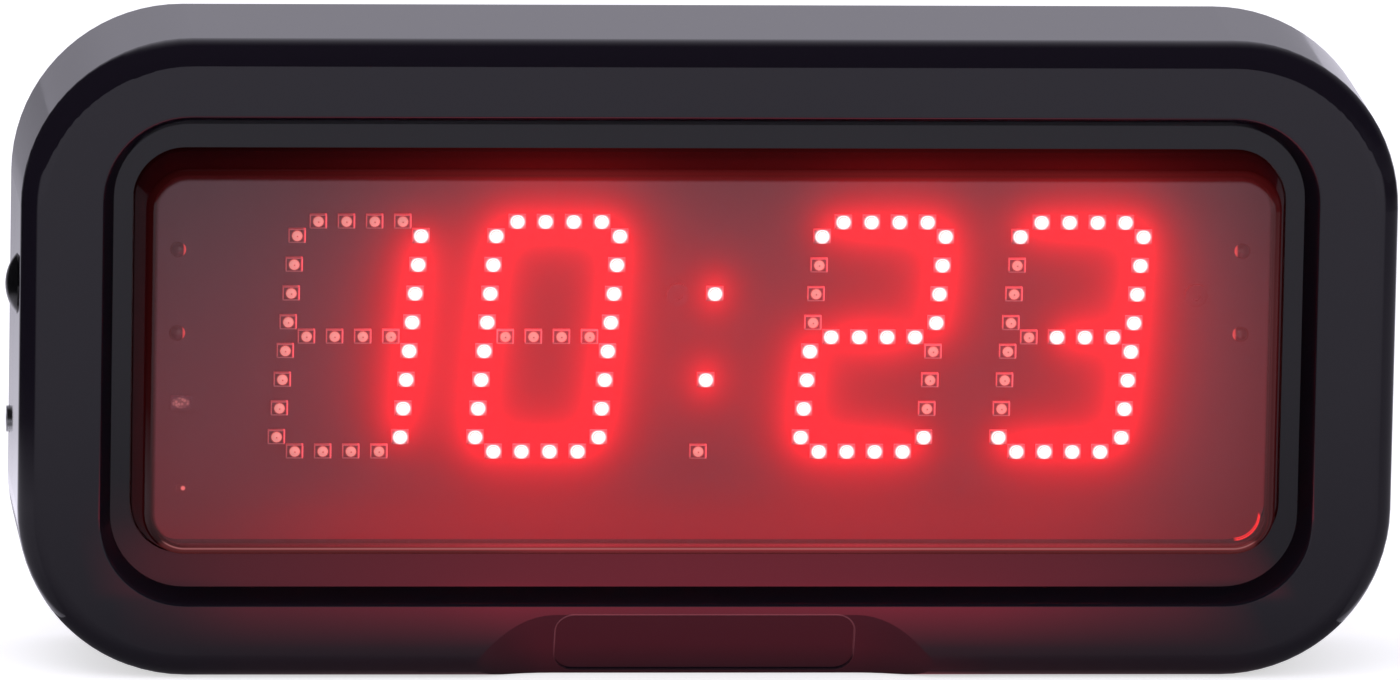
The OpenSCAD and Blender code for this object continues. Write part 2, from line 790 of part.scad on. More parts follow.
module board_socket() {
    color("#161618") facing() translate([header_x, header_z]) difference() {
        block(pins * pin_pitch + 1, 5, main_top_d + header_t + 0.3, board_back_d);
        pin_places() block(pin_size + 0.3, pin_size + 0.3, main_top_d + header_t - over, board_back_d - 1.5);
    }
}

module board_header() {
    color("#1e1e20") facing() translate([header_x, header_z]) {
        block(pins * pin_pitch + 1, 5, main_top_d, main_top_d + header_t);
        pin_places() block(pin_size, pin_size, main_top_d + header_t - seam, board_back_d - 2);
    }
}

module main_board() {
    color("#2c5a38") facing() translate([main_x, 0]) difference() {
        slab(main_w, main_h, 2, main_d, main_top_d);
        corners(main_hole_x, main_hole_z) disc(1.7, main_d - over, main_top_d + over);
    }
}

module main_board_screws() {
    color("#b8babd") facing() translate([main_x, 0]) corners(main_hole_x, main_hole_z)
        translate([0, 0, main_top_d]) screw(pilot - 2 * thin_gap, 5.4, main_screw_head, 1.6);
}

// Sets a part on the control board, placed from the board's middle
module on_main(x, z) translate([main_x + x, z, main_top_d]) children();

module power_module() {
    color("#242426") facing() on_main(power_x, power_z) slab(power_w, power_h, 1.5, 0, 8);
}

module capacitors() {
    color("#c4c6c9") facing() for (at = [[0, 0], [1, 0], [2, 0], [2, 1.1]]) on_main(can_x + at[0] * can_pitch,
        can_z + at[1] * can_pitch) {
        block(2 * can_r + 0.3, 2 * can_r + 0.3, 0, 1);
        disc(can_r, 1 - seam, 5.8);
    }
}

module inductor() {
    color("#4a4a4e") facing() on_main(can_x + 3.5, can_z + 11) difference() {
        slab(8, 8, 1.5, 0, 4);
        difference() {
            disc(6, 1, 3);
            disc(3.2, 1, 3);
        }
    }
}

module microcontroller() {
    color("#1c1c1e") facing() on_main(12, 6) block(10, 10, 0, 1.4);
}

module cell_holder() {
    color("#d9d4c4") facing() on_main(cell_x, cell_z) difference() {
        disc(cell_r, 0, 3);
        disc(cell_dia / 2 + 0.1, 0.8, 3 + over);
        translate([0, -3, 0.8]) cube([cell_r + over, 6, 3]);
    }
}

module backup_cell() {
    color("#c9cbce") facing() on_main(cell_x, cell_z) {
        disc(cell_dia / 2, 0.8, 2.2);
        disc(cell_dia / 2 - 1.25, 2.2 - seam, 2.6);
    }
}

module terminal_block() {
    color("#2f7a4a") facing() on_main(terminal_x, -2) difference() {
        block(8, 12, 0, 8);
        for (end = [-1, 1]) translate([0, end * 3]) disc(1.9, 4.5, 8 + over);
        for (end = [-1, 1]) translate([0, end * 3, 2.2]) rotate([0, 90, 0]) disc(1.3, 0.5, 4 + over);
    }
}

module terminal_screws() {
    color("#b8babd") facing() on_main(terminal_x, -2) for (end = [-1, 1]) translate([0, end * 3]) difference() {
        disc(1.8, 4.5, 6.5);
        translate([-2, -0.25, 6]) cube([4, 0.5, 1]);
    }
}

module fuse() {
    color("#d8d2c0") facing() on_main(terminal_x, 14) block(7.4, 3.1, 0, 2.6);
}

module case_screws() {
    color("#b8babd") facing() corners(boss_x, boss_z) translate([0, 0, back_d]) mirror([0, 0, 1])
        screw(pilot - 2 * thin_gap, case_screw_len, 5.6, 2.2);
}

module cable_grommet() {
    color("#242426") facing() translate([cable_x, -cable_z]) difference() {
        union() {
            disc(grommet_hole / 2 - thin_gap, back_d - seam, inside_d + seam);
            disc(grommet_hole / 2 + 2, back_d - grommet_lip, back_d);
            disc(grommet_hole / 2 + 2, inside_d, inside_d + grommet_lip);
        }
        disc(cable_bore / 2, back_d - grommet_lip - over, inside_d + grommet_lip + over);
    }
}

// Side ear of the bracket: a rounded bend and a tongue with a threaded hole
module bracket_ear() {
    bend_x = ear_x - bend_r;
    translate([0, -bracket_h / 2 + ear_h, 0]) rotate([90, 0, 0]) {
        translate([bend_x, bend_r]) linear_extrude(ear_h) intersection() {
            difference() {
                circle(bend_r);
                circle(bend_r - bracket_t);
            }
            translate([0, -bend_r]) square(bend_r);
        }
        translate([ear_x - bracket_t, bend_r]) cube([bracket_t, ear_up - bend_r, ear_h]);
    }
}

// Tab that steps forward and up to carry the case
module bracket_tab() {
    top = bracket_h / 2;
    translate([-tab_w / 2, 0, 0]) rotate([90, 0, 90]) linear_extrude(tab_w) polygon([
        [top - bracket_t, bracket_t - seam], [top, bracket_t - seam], [top, tab_reach - bracket_t],
        [top + tab_lip, tab_reach - bracket_t], [top + tab_lip, tab_reach], [top - bracket_t, tab_reach]]);
}

module wall_bracket() {
    plate_x = ear_x - bend_r;
    color("#a9abae") facing() difference() {
        union() {
            block(2 * plate_x, bracket_h, 0, bracket_t);
            for (side = [0, 1]) mirror([side, 0]) {
                bracket_ear();
                translate([tab_x, 0]) bracket_tab();
            }
        }
        corners(screws_x / 2, screws_z / 2) disc(screw_hole / 2, -over, bracket_t + over);
        slab(cutout_w, cutout_h, 5, -over, bracket_t + over);
        for (side = [-1, 1]) translate([side * ear_x, -lock_z, lock_d]) rotate([0, 90, 0]) disc(lock_dia / 2, -3, 3);
    }
}

module lock_screws() {
    color("#8f9194") facing() for (side = [0, 1]) mirror([side, 0])
        translate([side_x - lock_sink, -lock_z, lock_d]) rotate([0, 90, 0])
            screw(lock_dia - 2 * thin_gap, 7, lock_head_dia, lock_head_t);
}

front_bezel();
display_window();
window_gasket();
rear_shell();
housing_gasket();
set_button();
button_seal();
button_clip();
switch_plunger();
switch_body();
switch_board();
switch_screws();
switch_cable();
cable_connector();
display_board();
leds_hour_tens();
leds_hour_units();
leds_minute_tens();
leds_minute_units();
leds_colon();
lenses_lit();
lenses_unlit();
light_sensor();
status_led();
board_pegs();
board_screws();
driver_chips();
board_socket();
board_header();
main_board();
main_board_screws();
power_module();
capacitors();
inductor();
microcontroller();
cell_holder();
backup_cell();
terminal_block();
terminal_screws();
fuse();
case_screws();
cable_grommet();
wall_bracket();
lock_screws();
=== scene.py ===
import math

import bmesh
import bpy
from mathutils import Matrix, Vector


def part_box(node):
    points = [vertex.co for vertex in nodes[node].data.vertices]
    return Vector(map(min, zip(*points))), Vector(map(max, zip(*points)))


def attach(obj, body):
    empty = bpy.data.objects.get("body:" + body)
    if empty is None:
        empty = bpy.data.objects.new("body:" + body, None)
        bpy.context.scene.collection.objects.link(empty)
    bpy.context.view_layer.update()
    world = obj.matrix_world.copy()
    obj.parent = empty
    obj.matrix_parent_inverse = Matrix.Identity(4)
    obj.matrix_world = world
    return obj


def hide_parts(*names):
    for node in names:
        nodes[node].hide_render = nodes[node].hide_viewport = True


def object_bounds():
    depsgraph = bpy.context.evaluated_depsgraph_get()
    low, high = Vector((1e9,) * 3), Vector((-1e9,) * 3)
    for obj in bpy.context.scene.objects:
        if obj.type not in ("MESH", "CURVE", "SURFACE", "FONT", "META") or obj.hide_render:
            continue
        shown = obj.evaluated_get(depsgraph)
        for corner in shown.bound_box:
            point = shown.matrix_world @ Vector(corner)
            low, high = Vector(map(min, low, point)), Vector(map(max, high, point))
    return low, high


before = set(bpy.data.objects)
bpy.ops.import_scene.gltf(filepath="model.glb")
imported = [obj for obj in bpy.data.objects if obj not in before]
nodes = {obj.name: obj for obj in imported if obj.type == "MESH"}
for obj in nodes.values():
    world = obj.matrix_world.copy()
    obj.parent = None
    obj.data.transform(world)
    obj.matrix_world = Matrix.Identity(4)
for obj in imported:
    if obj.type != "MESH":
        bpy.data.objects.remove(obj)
cad_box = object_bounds()
scene = bpy.context.scene
scene.view_settings.view_transform = "Standard"

# The camera stands about four metres off, five degrees to the clock's left and eleven degrees
# above it, and leans by one degree, as the slant of the case's uprights in the photograph shows.
photo_width, photo_height = 1400, 680
ring_centre_at = (710.7, 362.5)
pixels_per_metre = 4893
camera_distance = 3.95
azimuth, elevation, roll = math.radians(-5.06), math.radians(11.4), math.radians(1.06)
ring_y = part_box("front_bezel")[0].y
aim = Vector((0, ring_y, 0))
forward = Vector((-math.sin(azimuth) * math.cos(elevation),
                  math.cos(azimuth) * math.cos(elevation), -math.sin(elevation)))
level_right = Vector((math.cos(azimuth), math.sin(azimuth), 0))
level_up = level_right.cross(forward)
right = level_right * math.cos(roll) + level_up * math.sin(roll)
up = level_up * math.cos(roll) - level_right * math.sin(roll)
camera = bpy.data.objects.new("camera", bpy.data.cameras.new("camera"))
scene.collection.objects.link(camera)
camera.matrix_world = (Matrix.Translation(aim - forward * camera_distance)
                       @ Matrix((right, up, -forward)).transposed().to_4x4())
camera.data.sensor_width = 36
camera.data.lens = pixels_per_metre * camera_distance * camera.data.sensor_width / photo_width
camera.data.shift_x = (photo_width / 2 - ring_centre_at[0]) / photo_width
camera.data.shift_y = (ring_centre_at[1] - photo_height / 2) / photo_width
camera.data.clip_end = 100
scene.camera = camera

# The studio: white paper on the floor and behind, dark overhead and to the left, so that the gloss
# case shows grey walls that fade into a black rolled edge. Only what the gloss mirrors is shaded like
# this: seen straight or through the window, the room is plain white. None of it belongs to the clock.


def add(tree, kind, **values):
    """Adds a shader node and sets its sockets or properties by name."""
    made = tree.nodes.new(kind)
    for name, value in values.items():
        label = name.replace("_", " ").title()
        if label in made.inputs:
            made.inputs[label].default_value = value
        else:
            setattr(made, name, value)
    return made


def math_node(tree, operation, first, second=None):
    """One math node whose inputs are sockets or plain numbers."""
    made = tree.nodes.new("ShaderNodeMath")
    made.operation = operation
    for place, value in enumerate((first, second)):
        if isinstance(value, (int, float)):
            made.inputs[place].default_value = value
        elif value is not None:
            tree.links.new(value, made.inputs[place])
    return made.outputs[0]


def plus(tree, first, second):
    """The sum of two sockets or numbers."""
    return math_node(tree, "ADD", first, second)


def times(tree, first, second):
    """The product of two sockets or numbers."""
    return math_node(tree, "MULTIPLY", first, second)


def opposite(tree, mask):
    """One minus a mask."""
    return math_node(tree, "SUBTRACT", 1.0, mask)


def split_up(tree, vector):
    """The X, Y and Z of a vector socket."""
    split = tree.nodes.new("ShaderNodeSeparateXYZ")
    tree.links.new(vector, split.inputs[0])
    return split.outputs


def ramp(tree, value, low, high, to_low, to_high):
    """Maps a value's range to another with soft ends."""
    made = add(tree, "ShaderNodeMapRange", from_min=low, from_max=high, to_min=to_low, to_max=to_high)
    made.interpolation_type = "SMOOTHSTEP"
    tree.links.new(value, made.inputs["Value"])
    return made.outputs[0]


def mixed(tree, mask, first, second, clamp=True):
    """Colour that goes from the first to the second, sockets or plain colours, as the mask rises."""
    blend = tree.nodes.new("ShaderNodeMix")
    blend.data_type = "RGBA"
    blend.clamp_factor = clamp
    tree.links.new(mask, blend.inputs["Factor"])
    for place, colour in (("A", first), ("B", second)):
        if isinstance(colour, tuple):
            blend.inputs[place].default_value = colour
        else:
            tree.links.new(colour, blend.inputs[place])
    return blend.outputs["Result"]


cool_white = (0.98, 0.95, 1.09, 1)
room_light = 0.62
behind_light = 0.58
darkest = 0.015

world = bpy.data.worlds.new("studio")
scene.world = world
world.use_nodes = True
room = world.node_tree
room.nodes.clear()
at = split_up(room, add(room, "ShaderNodeTexCoord").outputs["Generated"])
behind = ramp(room, at["Y"], -0.05, 0.95, 0.0, behind_light)
past_left = ramp(room, at["X"], -0.45, -0.08, 0.0, 1.0)
past_right = ramp(room, at["X"], 0.1, 0.4, 1.0, 0.3)
low_right = times(room, ramp(room, at["X"], 0.3, 0.6, 0.0, 0.1), ramp(room, at["Z"], 0.0, 0.35, 1.0, 0.0))
mirrored = math_node(room, "MAXIMUM", times(room, behind, times(room, past_left, past_right)),
                     math_node(room, "MAXIMUM", low_right, darkest))
path = add(room, "ShaderNodeLightPath").outputs
mirrored = times(room, path["Is Glossy Ray"], mirrored)
plain = times(room, opposite(room, path["Is Glossy Ray"]), room_light)
bare = math_node(room, "MAXIMUM", path["Is Camera Ray"], path["Is Transmission Ray"])
sky = add(room, "ShaderNodeBackground")
room.links.new(mixed(room, bare, cool_white, (1, 1, 1, 1)), sky.inputs["Color"])
room.links.new(math_node(room, "MAXIMUM", bare, plus(room, plain, mirrored)), sky.inputs["Strength"])
room.links.new(sky.outputs[0], add(room, "ShaderNodeOutputWorld").inputs[0])

# The floor: white paper. What the gloss case mirrors of it darkens close to the clock, where the
# case shades it, and turns red where the lit figures shine on it. Each list of stops says how this
# light goes with the distance ahead of the ring, with the distance from a corner, or sideways.


def between(tree, mask, first, second):
    """A number that goes from the first to the second as the mask rises."""
    return plus(tree, times(tree, first, opposite(tree, mask)), times(tree, second, mask))


def profile(tree, value, stops):
    """Maps a value through a list of (value, result) stops with straight lines between them."""
    low, high = stops[0][0], stops[-1][0]
    top = max(result for place, result in stops)
    spread = tree.nodes.new("ShaderNodeValToRGB")
    band = spread.color_ramp
    while len(band.elements) < len(stops):
        band.elements.new(0.5)
    for element, (place, result) in zip(band.elements, stops):
        element.position = (place - low) / (high - low)
        element.color = (result / top,) * 3 + (1,)
    scaled = add(tree, "ShaderNodeMapRange", from_min=low, from_max=high)
    tree.links.new(value, scaled.inputs["Value"])
    tree.links.new(scaled.outputs[0], spread.inputs["Fac"])
    return times(tree, spread.outputs["Color"], top)


def vector_node(tree, operation, first, second=None):
    """One vector math node on sockets or plain vectors."""
    made = tree.nodes.new("ShaderNodeVectorMath")
    made.operation = operation
    for place, value in enumerate((first, second)):
        if isinstance(value, tuple):
            made.inputs[place].default_value = value
        elif value is not None:
            tree.links.new(value, made.inputs[place])
    return made.outputs["Value" if operation in ("DOT_PRODUCT", "LENGTH", "DISTANCE") else "Vector"]


case_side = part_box("front_bezel")[1].x
floor_size, below_case = 4, 0.0001
right_light, behind_left_light, behind_right_light = 0.3, behind_light * 1.12, 0.74
paper_colour = (0.8, 0.8, 0.81, 1)
paper_glow = 0.6
red_shares = (1.0, 0.03, 0.09)

floor_mesh = bpy.data.meshes.new("floor")
floor_shape = bmesh.new()
bmesh.ops.create_grid(floor_shape, x_segments=1, y_segments=1, size=floor_size)
floor_shape.to_mesh(floor_mesh)
floor_shape.free()
floor = bpy.data.objects.new("floor", floor_mesh)
floor.location.z = cad_box[0].z - below_case
scene.collection.objects.link(floor)
paper = bpy.data.materials.new("white_paper")
paper.use_nodes = True
tree = paper.node_tree
tree.nodes.clear()
at = split_up(tree, add(tree, "ShaderNodeTexCoord").outputs["Object"])
ahead = math_node(tree, "SUBTRACT", ring_y, at["Y"])
left_angle = math_node(tree, "ARCTAN2", math_node(tree, "SUBTRACT", -case_side, at["X"]), ahead)
right_angle = math_node(tree, "ARCTAN2", math_node(tree, "SUBTRACT", at["X"], case_side), ahead)
corner = add(tree, "ShaderNodeCombineXYZ")
past_side = math_node(tree, "SUBTRACT", math_node(tree, "ABSOLUTE", at["X"]), case_side)
tree.links.new(past_side, corner.inputs["X"])
tree.links.new(ahead, corner.inputs["Y"])
off_corner = vector_node(tree, "LENGTH", corner.outputs[0])

shaded = profile(tree, ahead, [
    (-0.8, 0.64), (-0.25, 0.5), (-0.08, 0.35), (-0.052, 0.1), (0.0, 0.13), (0.006, 0.15), (0.013, 0.21),
    (0.03, 0.29), (0.078, 0.38), (0.13, 0.41), (0.2, 0.46), (0.3, 0.53), (0.45, 0.58), (0.7, 0.64)])
left_level = profile(tree, off_corner, [
    (0.0, 0.2), (0.05, 0.42), (0.17, 0.5), (0.21, 0.3), (0.26, 0.05), (0.32, 0.015), (0.5, 0.01)])
right_level = profile(tree, off_corner, [(0.0, 1.0), (0.38, 1.0), (0.6, 0.5), (0.9, 0.2)])
behind_level = profile(tree, off_corner, [(0.0, 1.0), (0.3, 1.0), (0.4, 0.85), (0.65, 0.5), (1.2, 0.5)])
to_left = ramp(tree, left_angle, 0.6, 0.8, 0.0, 1.0)
to_right = ramp(tree, right_angle, 0.75, 1.0, 0.0, 1.0)
shaded = between(tree, to_left, shaded, left_level)
shaded = between(tree, to_right, shaded, times(tree, right_level, right_light))
behind_left = times(tree, behind_level, ramp(tree, left_angle, 2.45, 2.9, 0.0, behind_left_light))
behind_right = ramp(tree, right_angle, 2.3, 2.7, 0.0, behind_right_light)
shaded = math_node(tree, "MAXIMUM", plus(tree, shaded, behind_left), behind_right)

red_ahead = profile(tree, ahead, [
    (-0.01, 0.0), (0.0, 0.05), (0.02, 0.05), (0.03, 0.09), (0.07, 0.95), (0.09, 1.0), (0.11, 0.95),
    (0.13, 0.6), (0.15, 0.2), (0.19, 0.0)])
near_red = profile(tree, at["X"], [
    (-0.118, 0.0), (-0.105, 0.5), (-0.09, 1.5), (-0.05, 2.6), (-0.036, 3.6), (0.0, 3.2), (0.045, 3.7),
    (0.065, 3.4), (0.085, 2.3), (0.105, 1.3), (0.122, 0.0)])
far_red = profile(tree, at["X"], [
    (-0.122, 0.0), (-0.107, 1.0), (-0.09, 1.6), (-0.03, 2.8), (0.0, 3.0), (0.05, 2.9), (0.09, 2.3),
    (0.105, 1.9), (0.12, 1.3), (0.127, 0.7), (0.132, 0.0)])
red_across = between(tree, ramp(tree, ahead, 0.074, 0.088, 0.0, 1.0), near_red, far_red)
under_case = profile(tree, ahead, [(-0.01, 0.0), (0.0, 0.85), (0.015, 0.85), (0.03, 0.0)])
under_scoop = profile(tree, at["X"], [
    (-0.045, 0.0), (-0.037, 0.45), (-0.032, 1.0), (0.032, 1.0), (0.037, 0.7), (0.045, 0.3), (0.06, 0.0)])
red = plus(tree, times(tree, red_ahead, red_across), times(tree, under_case, under_scoop))

mirrored_colour = tree.nodes.new("ShaderNodeCombineColor")
for place, share in enumerate(red_shares):
    tree.links.new(plus(tree, times(tree, shaded, cool_white[place]), times(tree, red, share)),
                   mirrored_colour.inputs[place])
matt = add(tree, "ShaderNodeBsdfDiffuse", color=paper_colour)
glow_white = add(tree, "ShaderNodeEmission", color=(1, 1, 1, 1))
path = add(tree, "ShaderNodeLightPath").outputs
bare = math_node(tree, "MAXIMUM", path["Is Camera Ray"], path["Is Transmission Ray"])
tree.links.new(times(tree, bare, paper_glow), glow_white.inputs["Strength"])
both = add(tree, "ShaderNodeAddShader")
tree.links.new(matt.outputs[0], both.inputs[0])
tree.links.new(glow_white.outputs[0], both.inputs[1])
seen_in_gloss = add(tree, "ShaderNodeEmission")
tree.links.new(mirrored_colour.outputs[0], seen_in_gloss.inputs["Color"])
choice = add(tree, "ShaderNodeMixShader")
tree.links.new(path["Is Glossy Ray"], choice.inputs[0])
tree.links.new(both.outputs[0], choice.inputs[1])
tree.links.new(seen_in_gloss.outputs[0], choice.inputs[2])
tree.links.new(choice.outputs[0], add(tree, "ShaderNodeOutputMaterial").inputs[0])
floor_mesh.materials.append(paper)


def soft_lamp(name, place, width, height, power, colour):
    """A large soft lamp, turned to the clock, that lights surfaces but isn't mirrored in them."""
    lamp = bpy.data.objects.new(name, bpy.data.lights.new(name, "AREA"))
    lamp.data.shape = "RECTANGLE"
    lamp.data.size = width
    lamp.data.size_y = height
    lamp.data.energy = power
    lamp.data.color = colour
    lamp.location = place
    lamp.rotation_mode = "QUATERNION"
    lamp.rotation_quaternion = (-Vector(place)).to_track_quat("-Z", "Y")
    lamp.visible_camera = False
    lamp.visible_glossy = False
    scene.collection.objects.link(lamp)


soft_lamp("lamp_above", (-0.3, -0.5, 1.1), width=1.2, height=0.8, power=3.2, colour=(1, 1, 1))
soft_lamp("lamp_front", (0.5, -1.3, 0.5), width=0.9, height=0.9, power=2.0, colour=(1, 0.98, 0.97))

# The case: a bezel and a rear shell in gloss black moulded plastic, screwed together from behind.
# A trace of mould waviness and fine dust keeps the gloss from looking like glass. Along the edge of a sunk
# badge place under the window lies a fine painted highlight line, fainter towards its bottom.


def effect(name, inputs, outputs):
    """Starts a shader node group: returns its tree, its input node and its output node."""
    group = bpy.data.node_groups.new(name, "ShaderNodeTree")
    for label, kind, value in inputs:
        socket = group.interface.new_socket(name=label, in_out="INPUT", socket_type=kind)
        if value is not None:
            socket.default_value = value
    for label, kind in outputs:
        group.interface.new_socket(name=label, in_out="OUTPUT", socket_type=kind)
    return group, group.nodes.new("NodeGroupInput"), group.nodes.new("NodeGroupOutput")


surface_outputs = [
    ("Colour", "NodeSocketColor"), ("Roughness", "NodeSocketFloat"), ("Height", "NodeSocketFloat")]
skin, given, out = effect(
    "moulded_skin",
    [("Vector", "NodeSocketVector", None), ("Colour", "NodeSocketColor", (0.01, 0.01, 0.01, 1)),
     ("Dust colour", "NodeSocketColor", (0.1, 0.1, 0.1, 1)), ("Dust", "NodeSocketFloat", 0.1),
     ("Gloss", "NodeSocketFloat", 0.05), ("Grain scale", "NodeSocketFloat", 900.0)],
    surface_outputs)
waves = add(skin, "ShaderNodeTexNoise", scale=55.0, detail=2.0)
specks = add(skin, "ShaderNodeTexNoise", detail=4.0, roughness=0.7)
skin.links.new(given.outputs["Vector"], waves.inputs["Vector"])
skin.links.new(given.outputs["Vector"], specks.inputs["Vector"])
skin.links.new(given.outputs["Grain scale"], specks.inputs["Scale"])
dust = times(skin, ramp(skin, specks.outputs["Fac"], 0.58, 0.75, 0.0, 1.0), given.outputs["Dust"])
skin.links.new(mixed(skin, dust, given.outputs["Colour"], given.outputs["Dust colour"]), out.inputs["Colour"])
uneven = times(skin, math_node(skin, "SUBTRACT", waves.outputs["Fac"], 0.5), 0.03)
skin.links.new(plus(skin, plus(skin, given.outputs["Gloss"], uneven), dust), out.inputs["Roughness"])
height = plus(skin, waves.outputs["Fac"], times(skin, specks.outputs["Fac"], 0.15))
skin.links.new(height, out.inputs["Height"])


def finish_with(name, group, values, bump=0.00002, **shader):
    """A material whose colour, roughness and bump come from one effect group."""
    material = bpy.data.materials.new(name)
    material.use_nodes = True
    tree = material.node_tree
    surface = tree.nodes["Principled BSDF"]
    for label, value in shader.items():
        surface.inputs[label.replace("_", " ")].default_value = value
    looks = tree.nodes.new("ShaderNodeGroup")
    looks.node_tree = group
    tree.links.new(add(tree, "ShaderNodeTexCoord").outputs["Object"], looks.inputs["Vector"])
    for label, value in values.items():
        looks.inputs[label].default_value = value
    tree.links.new(looks.outputs["Colour"], surface.inputs["Base Color"])
    tree.links.new(looks.outputs["Roughness"], surface.inputs["Roughness"])
    relief = tree.nodes.new("ShaderNodeBump")
    relief.inputs["Distance"].default_value = bump
    tree.links.new(looks.outputs["Height"], relief.inputs["Height"])
    tree.links.new(relief.outputs[0], surface.inputs["Normal"])
    return material


def moulding(name, colour, dust_colour, dust, gloss, grain, **rest):
    """Moulded plastic or rubber with fine dust on it."""
    return finish_with(name, skin, {"Colour": colour, "Dust colour": dust_colour, "Dust": dust,
                                    "Gloss": gloss, "Grain scale": grain}, **rest)


def dress(material, *names):
    """Puts a material on CAD pieces."""
    for name in names:
        for place in nodes[name].material_slots:
            place.material = material


outline, given, out = effect(
    "rounded_outline",
    [("Vector", "NodeSocketVector", None), ("Middle", "NodeSocketVector", None),
     ("Half size", "NodeSocketVector", None), ("Corner", "NodeSocketFloat", 0.004)],
    [("Distance", "NodeSocketFloat")])
corner = add(outline, "ShaderNodeCombineXYZ")
for axis in "XZ":
    outline.links.new(given.outputs["Corner"], corner.inputs[axis])
past = vector_node(outline, "SUBTRACT", given.outputs["Vector"], given.outputs["Middle"])
past = vector_node(outline, "SUBTRACT", vector_node(outline, "ABSOLUTE", past), given.outputs["Half size"])
past = vector_node(outline, "MULTIPLY", vector_node(outline, "ADD", past, corner.outputs[0]), (1.0, 0.0, 1.0))
outside = vector_node(outline, "LENGTH", vector_node(outline, "MAXIMUM", past, (0.0, 0.0, 0.0)))
sides = split_up(outline, past)
inside = math_node(outline, "MINIMUM", math_node(outline, "MAXIMUM", sides["X"], sides["Z"]), 0.0)
outline.links.new(math_node(outline, "SUBTRACT", plus(outline, outside, inside), given.outputs["Corner"]),
                  out.inputs["Distance"])


def from_outline(material, middle, half_size, corner):
    """Distance from a rounded rectangle's outline, as a socket in a material."""
    tree = material.node_tree
    made = tree.nodes.new("ShaderNodeGroup")
    made.node_tree = outline
    for label, value in (("Middle", middle), ("Half size", half_size), ("Corner", corner)):
        made.inputs[label].default_value = value
    tree.links.new(add(tree, "ShaderNodeTexCoord").outputs["Object"], made.inputs["Vector"])
    return made.outputs["Distance"]


def line_at(tree, distance, level, half_width, fade):
    """A thin line where a distance reaches a level."""
    off = math_node(tree, "ABSOLUTE", math_node(tree, "SUBTRACT", distance, level))
    return ramp(tree, off, half_width, half_width + fade, 1.0, 0.0)


def recolour(material, mask, colour, socket="Base Color"):
    """Lays another colour over a material's own, or over its glow, where the mask is high."""
    tree = material.node_tree
    target = tree.nodes["Principled BSDF"].inputs[socket]
    tree.links.new(mixed(tree, mask, target.links[0].from_socket, colour), target)


piano_black = (0.008, 0.0062, 0.0105, 1)
gloss_black = moulding("gloss_black_plastic", piano_black, (0.05, 0.05, 0.055, 1), dust=0.05, gloss=0.045,
                       grain=1400.0, bump=0.000006, IOR=1.5)
badge_tilt = math.radians(25)
badge_top, badge_high, badge_half, badge_corner = -0.0527, 0.014, 0.0308, 0.0038
bright_above, dim_below = 0.006, 0.011
badge_rise = badge_high / 2 * math.cos(badge_tilt)
badge_middle = (0, 0, badge_top - (badge_high / 2 + 0.0001) * math.cos(badge_tilt))
tree = gloss_black.node_tree
at = split_up(tree, add(tree, "ShaderNodeTexCoord").outputs["Object"])
badge_edge = from_outline(gloss_black, badge_middle, (badge_half, 0, badge_rise), badge_corner)
# A painted highlight line along the badge place's edge, stronger at the top.
edge_highlight = line_at(tree, badge_edge, 0.0, half_width=0.00012, fade=0.0001)
upper = ramp(tree, at["Z"], badge_top - dim_below, badge_top - bright_above, 0.15, 1.0)
recolour(gloss_black, times(tree, edge_highlight, upper), (0.14, 0.06, 0.07, 1))
dress(gloss_black, "front_bezel")
# Evens the normals where the rolled corners' facets would show as steps in the gloss.
even_normals = nodes["front_bezel"].modifiers.new("even_normals", "WEIGHTED_NORMAL")
even_normals.keep_sharp = True
even_normals.mode = "FACE_AREA_WITH_ANGLE"
shell_black = moulding("gloss_black_shell", piano_black, (0.06, 0.06, 0.065, 1), dust=0.12, gloss=0.07,
                       grain=1100.0, bump=0.000008, IOR=1.5)
dress(shell_black, "rear_shell")

# The gaskets and the button's o-ring: matt black rubber and foam, squeezed between the mouldings.
# The cable's inlet in the back wall is the same rubber.
rubber = moulding("black_rubber", (0.016, 0.016, 0.017, 1), (0.09, 0.09, 0.09, 1), dust=0.25, gloss=0.55,
                  grain=2200.0, bump=0.00003)
dress(rubber, "window_gasket", "housing_gasket", "button_seal", "cable_grommet")

# The display board: dark solder mask on glass fibre, held on the rear shell's pillars by pegs and
# screws, and flooded with red light round the lit figures. The light is worked out from the strokes
# that the lit lenses make, each a straight run of LEDs.
pitch_x, pitch_z = 0.00577, 0.006
# Places in a figure, counted in LEDs from its middle. Its bars reach a share of the way to the sides.
column_at, column_end, row_at = 2.2, 3.5, 3.8
bar_share, short_bar_share = 0.6, 0.2
field_x, field_z = 0.001, 0.0027
digit_near, digit_pitch = 0.0335, 0.0408
slant = math.tan(math.radians(5))


def board_spot(x, z):
    """The place on the board of a point in a figure's own upright grid."""
    return Vector((field_x + x + z * slant, 0, field_z + z))


side_x, end_z, row_z = column_at * pitch_x, column_end * pitch_z, row_at * pitch_z
bar_x, short_bar_x = side_x * bar_share, side_x * short_bar_share
stroke_ends = {
    "right": ((side_x, -end_z), (side_x, end_z)),
    "left": ((-side_x, -end_z), (-side_x, end_z)),
    "top": ((-side_x, row_z), (side_x, row_z)),
    "bottom": ((-side_x, -row_z), (side_x, -row_z)),
    "middle": ((-bar_x, 0), (bar_x, 0)),
    "short_middle": ((-short_bar_x, 0), (bar_x, 0)),
    "upper_right": ((side_x, 0), (side_x, end_z)),
    "lower_left": ((-side_x, -end_z), (-side_x, 0)),
}
lit_strokes = [
    (-digit_near - digit_pitch, ["right"]), (-digit_near, ["right", "left", "top", "bottom"]),
    (digit_near, ["top", "upper_right", "middle", "lower_left", "bottom"]),
    (digit_near + digit_pitch, ["top", "right", "short_middle", "bottom"]),
]
runs = [(board_spot(middle + a[0], a[1]), board_spot(middle + b[0], b[1]))
        for middle, names in lit_strokes for a, b in [stroke_ends[name] for name in names]]
